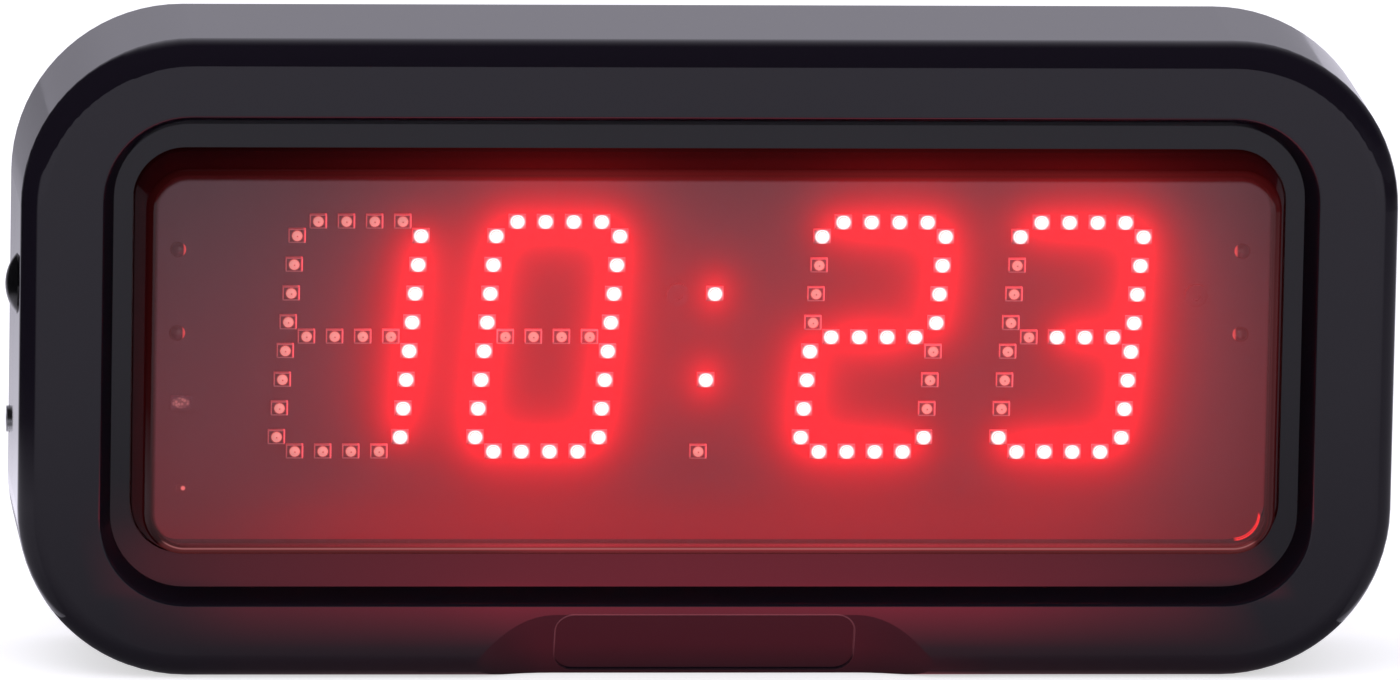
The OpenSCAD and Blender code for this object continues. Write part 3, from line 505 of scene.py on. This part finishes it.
runs += [(board_spot(0, (row - 0.5) * pitch_z), board_spot(0, (row + 0.5) * pitch_z)) for row in (-1.5, 1.5)]

stroke, given, out = effect(
    "stroke_light",
    [("Vector", "NodeSocketVector", None), ("Start", "NodeSocketVector", None),
     ("Direction", "NodeSocketVector", None), ("Length", "NodeSocketFloat", 0.01),
     ("Near spread", "NodeSocketFloat", 0.0047), ("Far spread", "NodeSocketFloat", 0.035)],
    [("Near light", "NodeSocketFloat"), ("Far light", "NodeSocketFloat")])
offset = vector_node(stroke, "SUBTRACT", given.outputs["Vector"], given.outputs["Start"])
offset = vector_node(stroke, "MULTIPLY", offset, (1.0, 0.0, 1.0))
along = vector_node(stroke, "DOT_PRODUCT", offset, given.outputs["Direction"])
rest = math_node(stroke, "SUBTRACT", given.outputs["Length"], along)
across = math_node(stroke, "SUBTRACT", vector_node(stroke, "DOT_PRODUCT", offset, offset),
                   math_node(stroke, "POWER", along, 2))


def run_light(spread):
    """Light that a straight run of LEDs throws on the board round it."""
    squared = math_node(stroke, "POWER", spread, 2)
    near = plus(stroke, math_node(stroke, "DIVIDE", across, squared), 1)
    halves = []
    for reach in (along, rest):
        further = math_node(stroke, "DIVIDE", times(stroke, reach, reach), squared)
        far = math_node(stroke, "SQRT", plus(stroke, near, further))
        halves.append(math_node(stroke, "DIVIDE", reach, times(stroke, near, far)))
    total = plus(stroke, halves[0], halves[1])
    return math_node(stroke, "DIVIDE", times(stroke, total, 0.5), spread)


stroke.links.new(run_light(given.outputs["Near spread"]), out.inputs["Near light"])
stroke.links.new(run_light(given.outputs["Far spread"]), out.inputs["Far light"])

glow, given, out = effect(
    "figure_glow",
    [("Vector", "NodeSocketVector", None), ("Near strength", "NodeSocketFloat", 1.0),
     ("Far strength", "NodeSocketFloat", 0.1), ("Haze", "NodeSocketFloat", 0.0)],
    [("Light", "NodeSocketFloat")])
lights = {"Near light": None, "Far light": None}
for start, end in runs:
    one = glow.nodes.new("ShaderNodeGroup")
    one.node_tree = stroke
    one.inputs["Start"].default_value = start
    one.inputs["Direction"].default_value = (end - start).normalized()
    one.inputs["Length"].default_value = (end - start).length
    glow.links.new(given.outputs["Vector"], one.inputs["Vector"])
    for kind, so_far in lights.items():
        lights[kind] = one.outputs[kind] if so_far is None else plus(glow, so_far, one.outputs[kind])
at = split_up(glow, given.outputs["Vector"])
lower = add(glow, "ShaderNodeMapRange", from_min=-0.04, from_max=0.04, to_min=1.0, to_max=0.0)
glow.links.new(at["Z"], lower.inputs["Value"])
haze = times(glow, lower.outputs[0], given.outputs["Haze"])
at_foot = ramp(glow, at["Z"], -0.036, -0.024, 1.2, 0.0)
off_ends = ramp(glow, math_node(glow, "ABSOLUTE", at["X"]), 0.06, 0.11, 1.0, 0.0)
pooled = times(glow, times(glow, at_foot, off_ends), given.outputs["Haze"])
near_light = times(glow, lights["Near light"], given.outputs["Near strength"])
far_light = times(glow, lights["Far light"], given.outputs["Far strength"])
glow.links.new(plus(glow, plus(glow, near_light, far_light), plus(glow, haze, pooled)), out.inputs["Light"])


def light_up(material, near, far, haze, tint):
    """Adds the red light of the figures to a material as emission, and returns its strength."""
    tree = material.node_tree
    surface = tree.nodes["Principled BSDF"]
    flood = tree.nodes.new("ShaderNodeGroup")
    flood.node_tree = glow
    for label, value in (("Near strength", near), ("Far strength", far), ("Haze", haze)):
        flood.inputs[label].default_value = value
    tree.links.new(add(tree, "ShaderNodeTexCoord").outputs["Object"], flood.inputs["Vector"])
    light = flood.outputs["Light"]
    tree.links.new(mixed(tree, light, (0, 0, 0, 1), tint, clamp=False), surface.inputs["Emission Color"])
    surface.inputs["Emission Strength"].default_value = 1.0
    return light


solder_mask = moulding("dark_solder_mask", (0.03, 0.052, 0.075, 1), (0.06, 0.067, 0.09, 1), dust=0.4,
                       gloss=0.38, grain=900.0)
light = light_up(solder_mask, near=1.5, far=0.07, haze=0.11, tint=(1.0, 0.001, 0.008, 1))
recolour(solder_mask, ramp(solder_mask.node_tree, light, 0.12, 0.6, 0.0, 1.0), (0.02, 0.004, 0.012, 1))
dress(solder_mask, "display_board")

# The LED packages: pale moulded blocks with a dark sunk face inside a thin rim, soldered in rows.
# The red light their walls catch from the lit ones is painted on as glow, strongest on the right rim,
# with painted shade on the lower walls and sunk faces; a lit package glows white round its lens.
# Each pair of numbers below says where a soft edge begins and ends, from the lamp's middle.
package_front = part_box("leds_hour_tens")[0].y
face_depth = 0.00008
foot_wall, right_rim, towards_corner = (-0.0013, -0.0009), (0.0013, 0.00145), (0.0010, 0.0014)
package = moulding("led_package", (0.5, 0.34, 0.35, 1), (0.6, 0.45, 0.45, 1), dust=0.3, gloss=0.4,
                   grain=3000.0, bump=0.00001)
tree = package.node_tree
at = split_up(tree, add(tree, "ShaderNodeTexCoord").outputs["Object"])
facing = split_up(tree, add(tree, "ShaderNodeNewGeometry").outputs["True Normal"])
burning = add(tree, "ShaderNodeAttribute", attribute_name="burning").outputs["Fac"]
from_lamp = add(tree, "ShaderNodeAttribute", attribute_name="from_lamp").outputs["Vector"]
away = split_up(tree, from_lamp)
behind_front = ramp(tree, at["Y"], package_front + face_depth, package_front + face_depth * 1.5, 0.0, 1.0)
sunk = times(tree, behind_front, ramp(tree, facing["Y"], -0.95, -0.9, 1.0, 0.0))
recolour(package, sunk, (0.05, 0.016, 0.018, 1))
recolour(package, times(tree, burning, 0.9), (0.05, 0.01, 0.012, 1))
light_up(package, near=2.0, far=0.35, haze=0.1, tint=(1.0, 0.05, 0.07, 1))
# Painted shade: the painted glow is held back on the lower walls, the sunk faces and the lit packages.
low_wall = ramp(tree, away["Z"], *foot_wall, 0.75, 0.0)
glow_shade = math_node(tree, "MAXIMUM", times(tree, sunk, 0.7),
                   math_node(tree, "MAXIMUM", low_wall, times(tree, burning, 0.35)))
recolour(package, glow_shade, (0.02, 0.002, 0.003, 1), "Emission Color")
# Painted red light along each package's right rim.
right_edge_light = ramp(tree, away["X"], *right_rim, 0.0, 0.9)
off_corners = ramp(tree, math_node(tree, "ABSOLUTE", away["Z"]), *towards_corner, 1.0, 0.3)
recolour(package, times(tree, right_edge_light, off_corners), (1.3, 0.1, 0.14, 1), "Emission Color")
halo = profile(tree, vector_node(tree, "LENGTH", from_lamp),
               [(0.0012, 1.0), (0.0015, 0.25), (0.0017, 0.05), (0.002, 0.0)])
recolour(package, times(tree, burning, halo), (2.6, 2.4, 2.4, 1), "Emission Color")


def islands(solid):
    """The separate shapes of a CAD node, as lists of vertex numbers with their box corners."""
    shape = bmesh.new()
    shape.from_mesh(solid.data)
    shape.verts.ensure_lookup_table()
    left, found = set(range(len(shape.verts))), []
    while left:
        group, edge = [], [left.pop()]
        while edge:
            place = edge.pop()
            group.append(place)
            for side in shape.verts[place].link_edges:
                other = side.other_vert(shape.verts[place]).index
                if other in left:
                    left.remove(other)
                    edge.append(other)
        points = [solid.matrix_world @ shape.verts[place].co for place in group]
        low = Vector([min(point[axis] for point in points) for axis in range(3)])
        high = Vector([max(point[axis] for point in points) for axis in range(3)])
        found.append((group, low, high))
    shape.free()
    return found


same_lamp = 0.001
lit_middles = [(low + high) / 2 for group, low, high in islands(nodes["lenses_lit"])]
for name in ("leds_hour_tens", "leds_hour_units", "leds_minute_tens", "leds_minute_units", "leds_colon"):
    solid = nodes[name]
    mesh = solid.data.copy()
    packages = bpy.data.objects.new("packages_" + name.removeprefix("leds_"), mesh)
    packages.matrix_world = solid.matrix_world
    scene.collection.objects.link(packages)
    offsets, burns = [0.0] * (3 * len(mesh.vertices)), [0.0] * len(mesh.vertices)
    for group, low, high in islands(solid):
        middle = (low + high) / 2
        lit = min(math.hypot(middle.x - lamp.x, middle.z - lamp.z) for lamp in lit_middles) < same_lamp
        for place in group:
            off = solid.matrix_world @ mesh.vertices[place].co - middle
            offsets[3 * place:3 * place + 3] = (off.x, 0.0, off.z)
            burns[place] = 1.0 if lit else 0.0
    mesh.attributes.new("from_lamp", "FLOAT_VECTOR", "POINT").data.foreach_set("vector", offsets)
    mesh.attributes.new("burning", "FLOAT", "POINT").data.foreach_set("value", burns)
    mesh.materials.clear()
    mesh.materials.append(package)
    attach(packages, "case")
    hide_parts(name)

# The LED lenses: small domes of cast epoxy in the packages' dishes. The lit ones are white hot in
# the middle; the unlit ones are milky pink with the dark die and its ring just showing, and glow
# faintly with painted light.
lens_turns, lens_rings = 24, 7
dome_high, dome_power = 0.0008, 2.2


def cast_lenses(name, cad_name, material):
    """Domes of epoxy, one on each lens of the CAD node, that carry their distance from the middle."""
    points, faces, reach = [], [], []
    for group, low, high in islands(nodes[cad_name]):
        middle, radius, front, back = (low + high) / 2, (high.x - low.x) / 2, low.y, high.y
        first = len(points)
        points.append((middle.x, front, middle.z))
        reach.append(0.0)
        for ring in range(1, lens_rings + 2):
            part = min(ring / lens_rings, 1.0)
            depth = back if ring > lens_rings else front + dome_high * part ** dome_power
            for turn in range(lens_turns):
                angle = 2 * math.pi * turn / lens_turns
                points.append((middle.x + radius * part * math.cos(angle), depth,
                               middle.z + radius * part * math.sin(angle)))
                reach.append(part)
        for turn in range(lens_turns):
            after = (turn + 1) % lens_turns
            faces.append((first, first + 1 + turn, first + 1 + after))
            for ring in range(lens_rings):
                inner, outer = first + 1 + ring * lens_turns, first + 1 + (ring + 1) * lens_turns
                faces.append((inner + turn, outer + turn, outer + after, inner + after))
    mesh = bpy.data.meshes.new(name)
    mesh.from_pydata(points, [], faces)
    mesh.update()
    for face in mesh.polygons:
        face.use_smooth = True
    mesh.attributes.new("from_middle", "FLOAT", "POINT").data.foreach_set("value", reach)
    mesh.materials.append(material)
    cast = bpy.data.objects.new(name, mesh)
    scene.collection.objects.link(cast)
    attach(cast, "case")
    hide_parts(cad_name)


epoxy, given, out = effect(
    "cast_epoxy",
    [("Vector", "NodeSocketVector", None), ("From middle", "NodeSocketFloat", 0.0),
     ("Die colour", "NodeSocketColor", (1, 1, 1, 1)), ("Colour", "NodeSocketColor", (0.9, 0.5, 0.5, 1)),
     ("Rim colour", "NodeSocketColor", (0.5, 0.2, 0.2, 1)), ("Die size", "NodeSocketFloat", 0.2),
     ("Rim start", "NodeSocketFloat", 0.8)],
    surface_outputs)
cloud = add(epoxy, "ShaderNodeTexNoise", scale=1800.0, detail=2.0)
epoxy.links.new(given.outputs["Vector"], cloud.inputs["Vector"])
off_die = add(epoxy, "ShaderNodeMapRange", interpolation_type="SMOOTHSTEP")
epoxy.links.new(given.outputs["From middle"], off_die.inputs["Value"])
epoxy.links.new(given.outputs["Die size"], off_die.inputs["From Max"])
off_body = add(epoxy, "ShaderNodeMapRange", interpolation_type="SMOOTHSTEP")
epoxy.links.new(given.outputs["From middle"], off_body.inputs["Value"])
epoxy.links.new(given.outputs["Rim start"], off_body.inputs["From Min"])
body = mixed(epoxy, off_die.outputs[0], given.outputs["Die colour"], given.outputs["Colour"])
epoxy.links.new(mixed(epoxy, off_body.outputs[0], body, given.outputs["Rim colour"]), out.inputs["Colour"])
epoxy.links.new(ramp(epoxy, cloud.outputs["Fac"], 0.3, 0.7, 0.16, 0.26), out.inputs["Roughness"])
epoxy.links.new(cloud.outputs["Fac"], out.inputs["Height"])


def lens_material(name, values, strength):
    """Cast epoxy that glows with its own colour pattern."""
    material = finish_with(name, epoxy, values, bump=0.000004, Emission_Strength=strength)
    tree = material.node_tree
    looks = next(node for node in tree.nodes if node.type == "GROUP")
    distance = add(tree, "ShaderNodeAttribute", attribute_name="from_middle")
    tree.links.new(distance.outputs["Fac"], looks.inputs["From middle"])
    tree.links.new(looks.outputs["Colour"], tree.nodes["Principled BSDF"].inputs["Emission Color"])
    return material


lit_lens = lens_material(
    "lit_lens", {"Die colour": (1, 0.97, 0.97, 1), "Colour": (1, 0.9, 0.88, 1),
                 "Rim colour": (1, 0.25, 0.2, 1), "Die size": 0.4, "Rim start": 0.75}, strength=2.2)
cast_lenses("lens_domes_lit", "lenses_lit", lit_lens)
# The unlit lenses get a faint painted glow.
milky_glowing_lens = lens_material(
    "milky_glowing_lens", {"Die colour": (0.5, 0.12, 0.1, 1), "Colour": (0.95, 0.42, 0.37, 1),
                   "Rim colour": (0.5, 0.1, 0.09, 1), "Die size": 0.3, "Rim start": 0.8}, strength=0.75)
cast_lenses("lens_domes_unlit", "lenses_unlit", milky_glowing_lens)

# The board's fixings: domed pegs of black nylon that snap through the board at its ends, and catch
# red light on the side that faces the figures, and blackened steel screws nearer the figures.
black_nylon = moulding("black_nylon", (0.02, 0.018, 0.028, 1), (0.06, 0.05, 0.06, 1), dust=0.2, gloss=0.1,
                       grain=2000.0)
light_up(black_nylon, near=1.3, far=0.06, haze=0.1, tint=(1.0, 0.008, 0.02, 1))
tree = black_nylon.node_tree
where = add(tree, "ShaderNodeTexCoord")
at = split_up(tree, where.outputs["Object"])
facing = split_up(tree, where.outputs["Normal"])
inward = times(tree, facing["X"], times(tree, math_node(tree, "SIGN", at["X"]), -1.0))
recolour(black_nylon, ramp(tree, inward, 0.55, 0.85, 0.0, 0.8), (1.0, 0.1, 0.1, 1), "Emission Color")
dress(black_nylon, "board_pegs")

metal, given, out = effect(
    "drawn_metal",
    [("Vector", "NodeSocketVector", None), ("Colour", "NodeSocketColor", (0.5, 0.5, 0.5, 1)),
     ("Stain colour", "NodeSocketColor", (0.3, 0.3, 0.28, 1)), ("Gloss", "NodeSocketFloat", 0.3),
     ("Streak scale", "NodeSocketFloat", 300.0)],
    surface_outputs)
stretch = add(metal, "ShaderNodeMapping", scale=(0.04, 1.0, 1.0))
metal.links.new(given.outputs["Vector"], stretch.inputs["Vector"])
streaks = add(metal, "ShaderNodeTexNoise", detail=5.0)
metal.links.new(stretch.outputs[0], streaks.inputs["Vector"])
metal.links.new(given.outputs["Streak scale"], streaks.inputs["Scale"])
cloud = add(metal, "ShaderNodeTexNoise", scale=40.0, detail=3.0)
metal.links.new(given.outputs["Vector"], cloud.inputs["Vector"])
stain = ramp(metal, cloud.outputs["Fac"], 0.45, 0.75, 0.0, 0.6)
metal.links.new(mixed(metal, stain, given.outputs["Colour"], given.outputs["Stain colour"]),
                out.inputs["Colour"])
rubbed = times(metal, math_node(metal, "SUBTRACT", streaks.outputs["Fac"], 0.5), 0.25)
metal.links.new(plus(metal, given.outputs["Gloss"], rubbed), out.inputs["Roughness"])
metal.links.new(streaks.outputs["Fac"], out.inputs["Height"])


def bare_metal(name, colour, stain_colour, gloss, streak, bump):
    """Drawn, plated or blackened metal with fine streaks and faint stains."""
    return finish_with(name, metal, {"Colour": colour, "Stain colour": stain_colour, "Gloss": gloss,
                                     "Streak scale": streak}, bump=bump, Metallic=1.0)


blackened = bare_metal("blackened_steel", (0.06, 0.045, 0.055, 1), (0.03, 0.02, 0.03, 1),
                       gloss=0.35, streak=900.0, bump=0.000008)
light_up(blackened, near=1.4, far=0.065, haze=0.14, tint=(1.0, 0.016, 0.026, 1))
dress(blackened, "board_screws")

# The light sensor: a small oval cap of milky resin with a flaky grain, at the board's left end, with a
# painted pink glow on its flaky oval. Past the oval, the package round it is nearly black, and its painted
# glow a faint dark red.
sensor_cap = moulding("sensor_cap", (0.62, 0.45, 0.42, 1), (1.0, 0.9, 0.86, 1), dust=0.9, gloss=0.25,
                      grain=1300.0)
light_up(sensor_cap, near=1.0, far=0.45, haze=0.15, tint=(1.0, 0.26, 0.24, 1))
oval_half, oval_fade, oval_share = 0.0008, 0.0005, 0.62
tree = sensor_cap.node_tree
where = add(tree, "ShaderNodeTexCoord").outputs["Object"]
flakes = add(tree, "ShaderNodeTexVoronoi", scale=1500.0)
tree.links.new(where, flakes.inputs["Vector"])
cap_low, cap_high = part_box("light_sensor")
off_cap = vector_node(tree, "SUBTRACT", where, tuple((cap_low + cap_high) / 2))
squeezed = vector_node(tree, "LENGTH", vector_node(tree, "MULTIPLY", off_cap, (oval_share, 0.0, 1.0)))
# The painted glow stays on the flaky oval and turns dark red past it.
milky = times(tree, ramp(tree, flakes.outputs["Distance"], 0.2, 0.7, 1.0, 0.25),
              ramp(tree, squeezed, oval_half, oval_half + oval_fade, 1.0, 0.0))
off_milky = opposite(tree, milky)
recolour(sensor_cap, off_milky, (0.12, 0.012, 0.02, 1), "Emission Color")
recolour(sensor_cap, off_milky, (0.04, 0.03, 0.045, 1))
dress(sensor_cap, "light_sensor")

# The status LED: a dark chip LED soldered to the board below the sensor. One small red point near its
# right end glows; the rest is nearly as dark as the board.
chip_led = moulding("chip_led", (0.06, 0.045, 0.06, 1), (0.12, 0.08, 0.1, 1), dust=0.5, gloss=0.3,
                    grain=2500.0)
light_up(chip_led, near=1.5, far=0.05, haze=0.11, tint=(1.0, 0.01, 0.02, 1))
tree = chip_led.node_tree
chip_low, chip_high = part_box("status_led")
dot_radius, dot_from_end, dot_rise = 0.0003, 0.0006, 0.0001
dot_at = (chip_high.x - dot_from_end, chip_low.y, (chip_low.z + chip_high.z) / 2 + dot_rise)
off_dot = vector_node(tree, "DISTANCE", add(tree, "ShaderNodeTexCoord").outputs["Object"], dot_at)
dot = ramp(tree, off_dot, dot_radius, dot_radius * 2, 1.0, 0.0)
recolour(chip_led, dot, (1.0, 0.22, 0.2, 1), "Emission Color")
dress(chip_led, "status_led")

# The window: one tray of clear acrylic with a smoky red tint and a face 2.4 millimetres thick, held
# by its flange behind the bezel. Its face and its back each mirror the studio, which lays a grey veil
# over the dark board. Its leaning sides are darker and carry a painted red glow, brightest low down;
# at the foot lie a painted shade line, a painted pale highlight line and a painted red glint.
window_low, window_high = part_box("display_window")
flange, slope = 0.0042, 0.0046
face_corner, foot_corner = 0.0059, 0.0105
highlight_line_at, glint_at = -0.0033, -0.0006
glint_from_x, glint_below_z = 0.1075, -0.03
lower_side_high, soft_edge = 0.0042, 0.001
face_half = ((window_high.x - window_low.x) / 2 - flange - slope, 0,
             (window_high.z - window_low.z) / 2 - flange - slope)
face_middle = (0, 0, (window_high.z + window_low.z) / 2)
foot_half = (face_half[0] + slope, 0, face_half[2] + slope)
foot_z = window_low.z + flange
window_tint = moulding("tinted_acrylic", (0.86, 0.66, 0.69, 1), (0.9, 0.8, 0.8, 1), dust=0.02, gloss=0.0,
                       grain=1200.0, bump=0.0000002, IOR=1.49, Transmission_Weight=1.0)
light_up(window_tint, near=0.9, far=0.09, haze=0.0, tint=(1.0, 0.09, 0.1, 1))
tree = window_tint.node_tree
at = split_up(tree, add(tree, "ShaderNodeTexCoord").outputs["Object"])
to_face = from_outline(window_tint, face_middle, face_half, face_corner)
to_foot = from_outline(window_tint, face_middle, foot_half, foot_corner)
past_face = ramp(tree, to_face, 0.0, 0.0008, 0.0, 1.0)
recolour(window_tint, past_face, (0.16, 0.02, 0.022, 1))
low_side = ramp(tree, at["Z"], foot_z + lower_side_high, foot_z + lower_side_high + soft_edge, 1.0, 0.0)
# Painted red glow on the leaning sides; on the low side it turns to a painted shade line at the foot.
low_light = ramp(tree, to_foot, -0.0031, -0.0028, 1.0, 0.06)
side_light = ramp(tree, to_foot, -0.0028, -0.002, 0.42, 0.1)
lit_part = times(tree, past_face, between(tree, low_side, side_light, low_light))
recolour(window_tint, opposite(tree, lit_part), (0, 0, 0, 1), "Emission Color")
# A painted pale highlight line at the foot.
foot_highlight = line_at(tree, to_foot, highlight_line_at, half_width=0.0001, fade=0.0001)
recolour(window_tint, times(tree, foot_highlight, low_side), (0.2, 0.09, 0.09, 1), "Emission Color")
# A painted red glint at the lower right corner.
low_right = times(tree, ramp(tree, at["X"], glint_from_x, glint_from_x + soft_edge, 0.0, 1.0),
                  ramp(tree, at["Z"], glint_below_z - soft_edge, glint_below_z, 1.0, 0.0))
glint = times(tree, line_at(tree, to_face, glint_at, half_width=0.00012, fade=0.00008), low_right)
recolour(window_tint, glint, (0.9, 0.02, 0.02, 1), "Emission Color")
dress(window_tint, "display_window")

# The set button: a gloss black dome on the left wall, with its stem, clip and seal behind it.
# It presses the red plunger of a sealed switch that sits on a small board of its own.
button_black = moulding("button_black", (0.004, 0.004, 0.0045, 1), (0.03, 0.03, 0.03, 1), dust=0.04,
                        gloss=0.12, grain=1800.0, bump=0.00001)
dress(button_black, "set_button")
red_moulding = moulding("red_moulding", (0.3, 0.03, 0.025, 1), (0.4, 0.1, 0.08, 1), dust=0.2, gloss=0.35,
                        grain=2500.0)
dress(red_moulding, "switch_plunger")
grey_lead = moulding("grey_lead", (0.06, 0.06, 0.066, 1), (0.12, 0.12, 0.12, 1), dust=0.2, gloss=0.5,
                     grain=1700.0)
dress(grey_lead, "switch_cable")

# The electronics: black chips, coil and strips, a pale connector, cell holder and fuse, and a green
# terminal block, soldered to the control board. The switch's body is the same black moulding.
black_moulding = moulding("black_moulding", (0.015, 0.015, 0.016, 1), (0.07, 0.07, 0.07, 1), dust=0.2,
                          gloss=0.42, grain=2000.0)
dress(black_moulding, "switch_body", "driver_chips", "board_socket", "board_header", "power_module",
      "inductor", "microcontroller")
pale_moulding = moulding("pale_moulding", (0.62, 0.6, 0.52, 1), (0.4, 0.38, 0.33, 1), dust=0.2, gloss=0.42,
                         grain=1500.0)
dress(pale_moulding, "cable_connector", "cell_holder", "fuse")
green_moulding = moulding("green_moulding", (0.03, 0.2, 0.08, 1), (0.1, 0.3, 0.15, 1), dust=0.2, gloss=0.4,
                          grain=1800.0)
dress(green_moulding, "terminal_block")

# The control board and the switch board: glass fibre under a green solder mask, with copper tracks
# just showing through it. Screws hold the one on the rear shell's pillars and the other on posts that
# stand on the case's left wall.
track, given, out = effect(
    "green_mask",
    [("Vector", "NodeSocketVector", None), ("Mask colour", "NodeSocketColor", (0.02, 0.12, 0.05, 1)),
     ("Track colour", "NodeSocketColor", (0.05, 0.2, 0.08, 1)), ("Track scale", "NodeSocketFloat", 420.0)],
    surface_outputs)
lanes = add(track, "ShaderNodeTexBrick", mortar_size=0.03, brick_width=2.6, row_height=0.5)
track.links.new(given.outputs["Vector"], lanes.inputs["Vector"])
track.links.new(given.outputs["Track scale"], lanes.inputs["Scale"])
grain = add(track, "ShaderNodeTexNoise", scale=1500.0, detail=3.0)
track.links.new(given.outputs["Vector"], grain.inputs["Vector"])
track.links.new(
    mixed(track, lanes.outputs["Fac"], given.outputs["Mask colour"], given.outputs["Track colour"]),
    out.inputs["Colour"])
track.links.new(ramp(track, grain.outputs["Fac"], 0.3, 0.7, 0.25, 0.4), out.inputs["Roughness"])
track.links.new(lanes.outputs["Fac"], out.inputs["Height"])
green_board = finish_with("green_board", track, {}, bump=0.00003)
dress(green_board, "main_board", "switch_board")

# The bare metal: plated steel screws and the button's retaining clip, and inside the case the drawn
# cans of the capacitors and of the coin cell.
plated = bare_metal("plated_steel", (0.55, 0.56, 0.57, 1), (0.4, 0.39, 0.36, 1), gloss=0.32, streak=900.0,
                    bump=0.000008)
dress(plated, "button_clip", "switch_screws", "main_board_screws", "terminal_screws", "case_screws",
      "lock_screws")
bare_can = bare_metal("bare_can", (0.72, 0.72, 0.74, 1), (0.5, 0.5, 0.5, 1), gloss=0.3, streak=1500.0,
                      bump=0.00001)
dress(bare_can, "capacitors", "backup_cell")

# The wall bracket: zinc plated sheet steel, punched and bent. It screws to the wall, and the clock
# hangs on its hooks.
zinc_sheet = bare_metal("zinc_sheet", (0.58, 0.59, 0.6, 1), (0.42, 0.43, 0.44, 1), gloss=0.36, streak=500.0,
                        bump=0.00001)
dress(zinc_sheet, "wall_bracket")
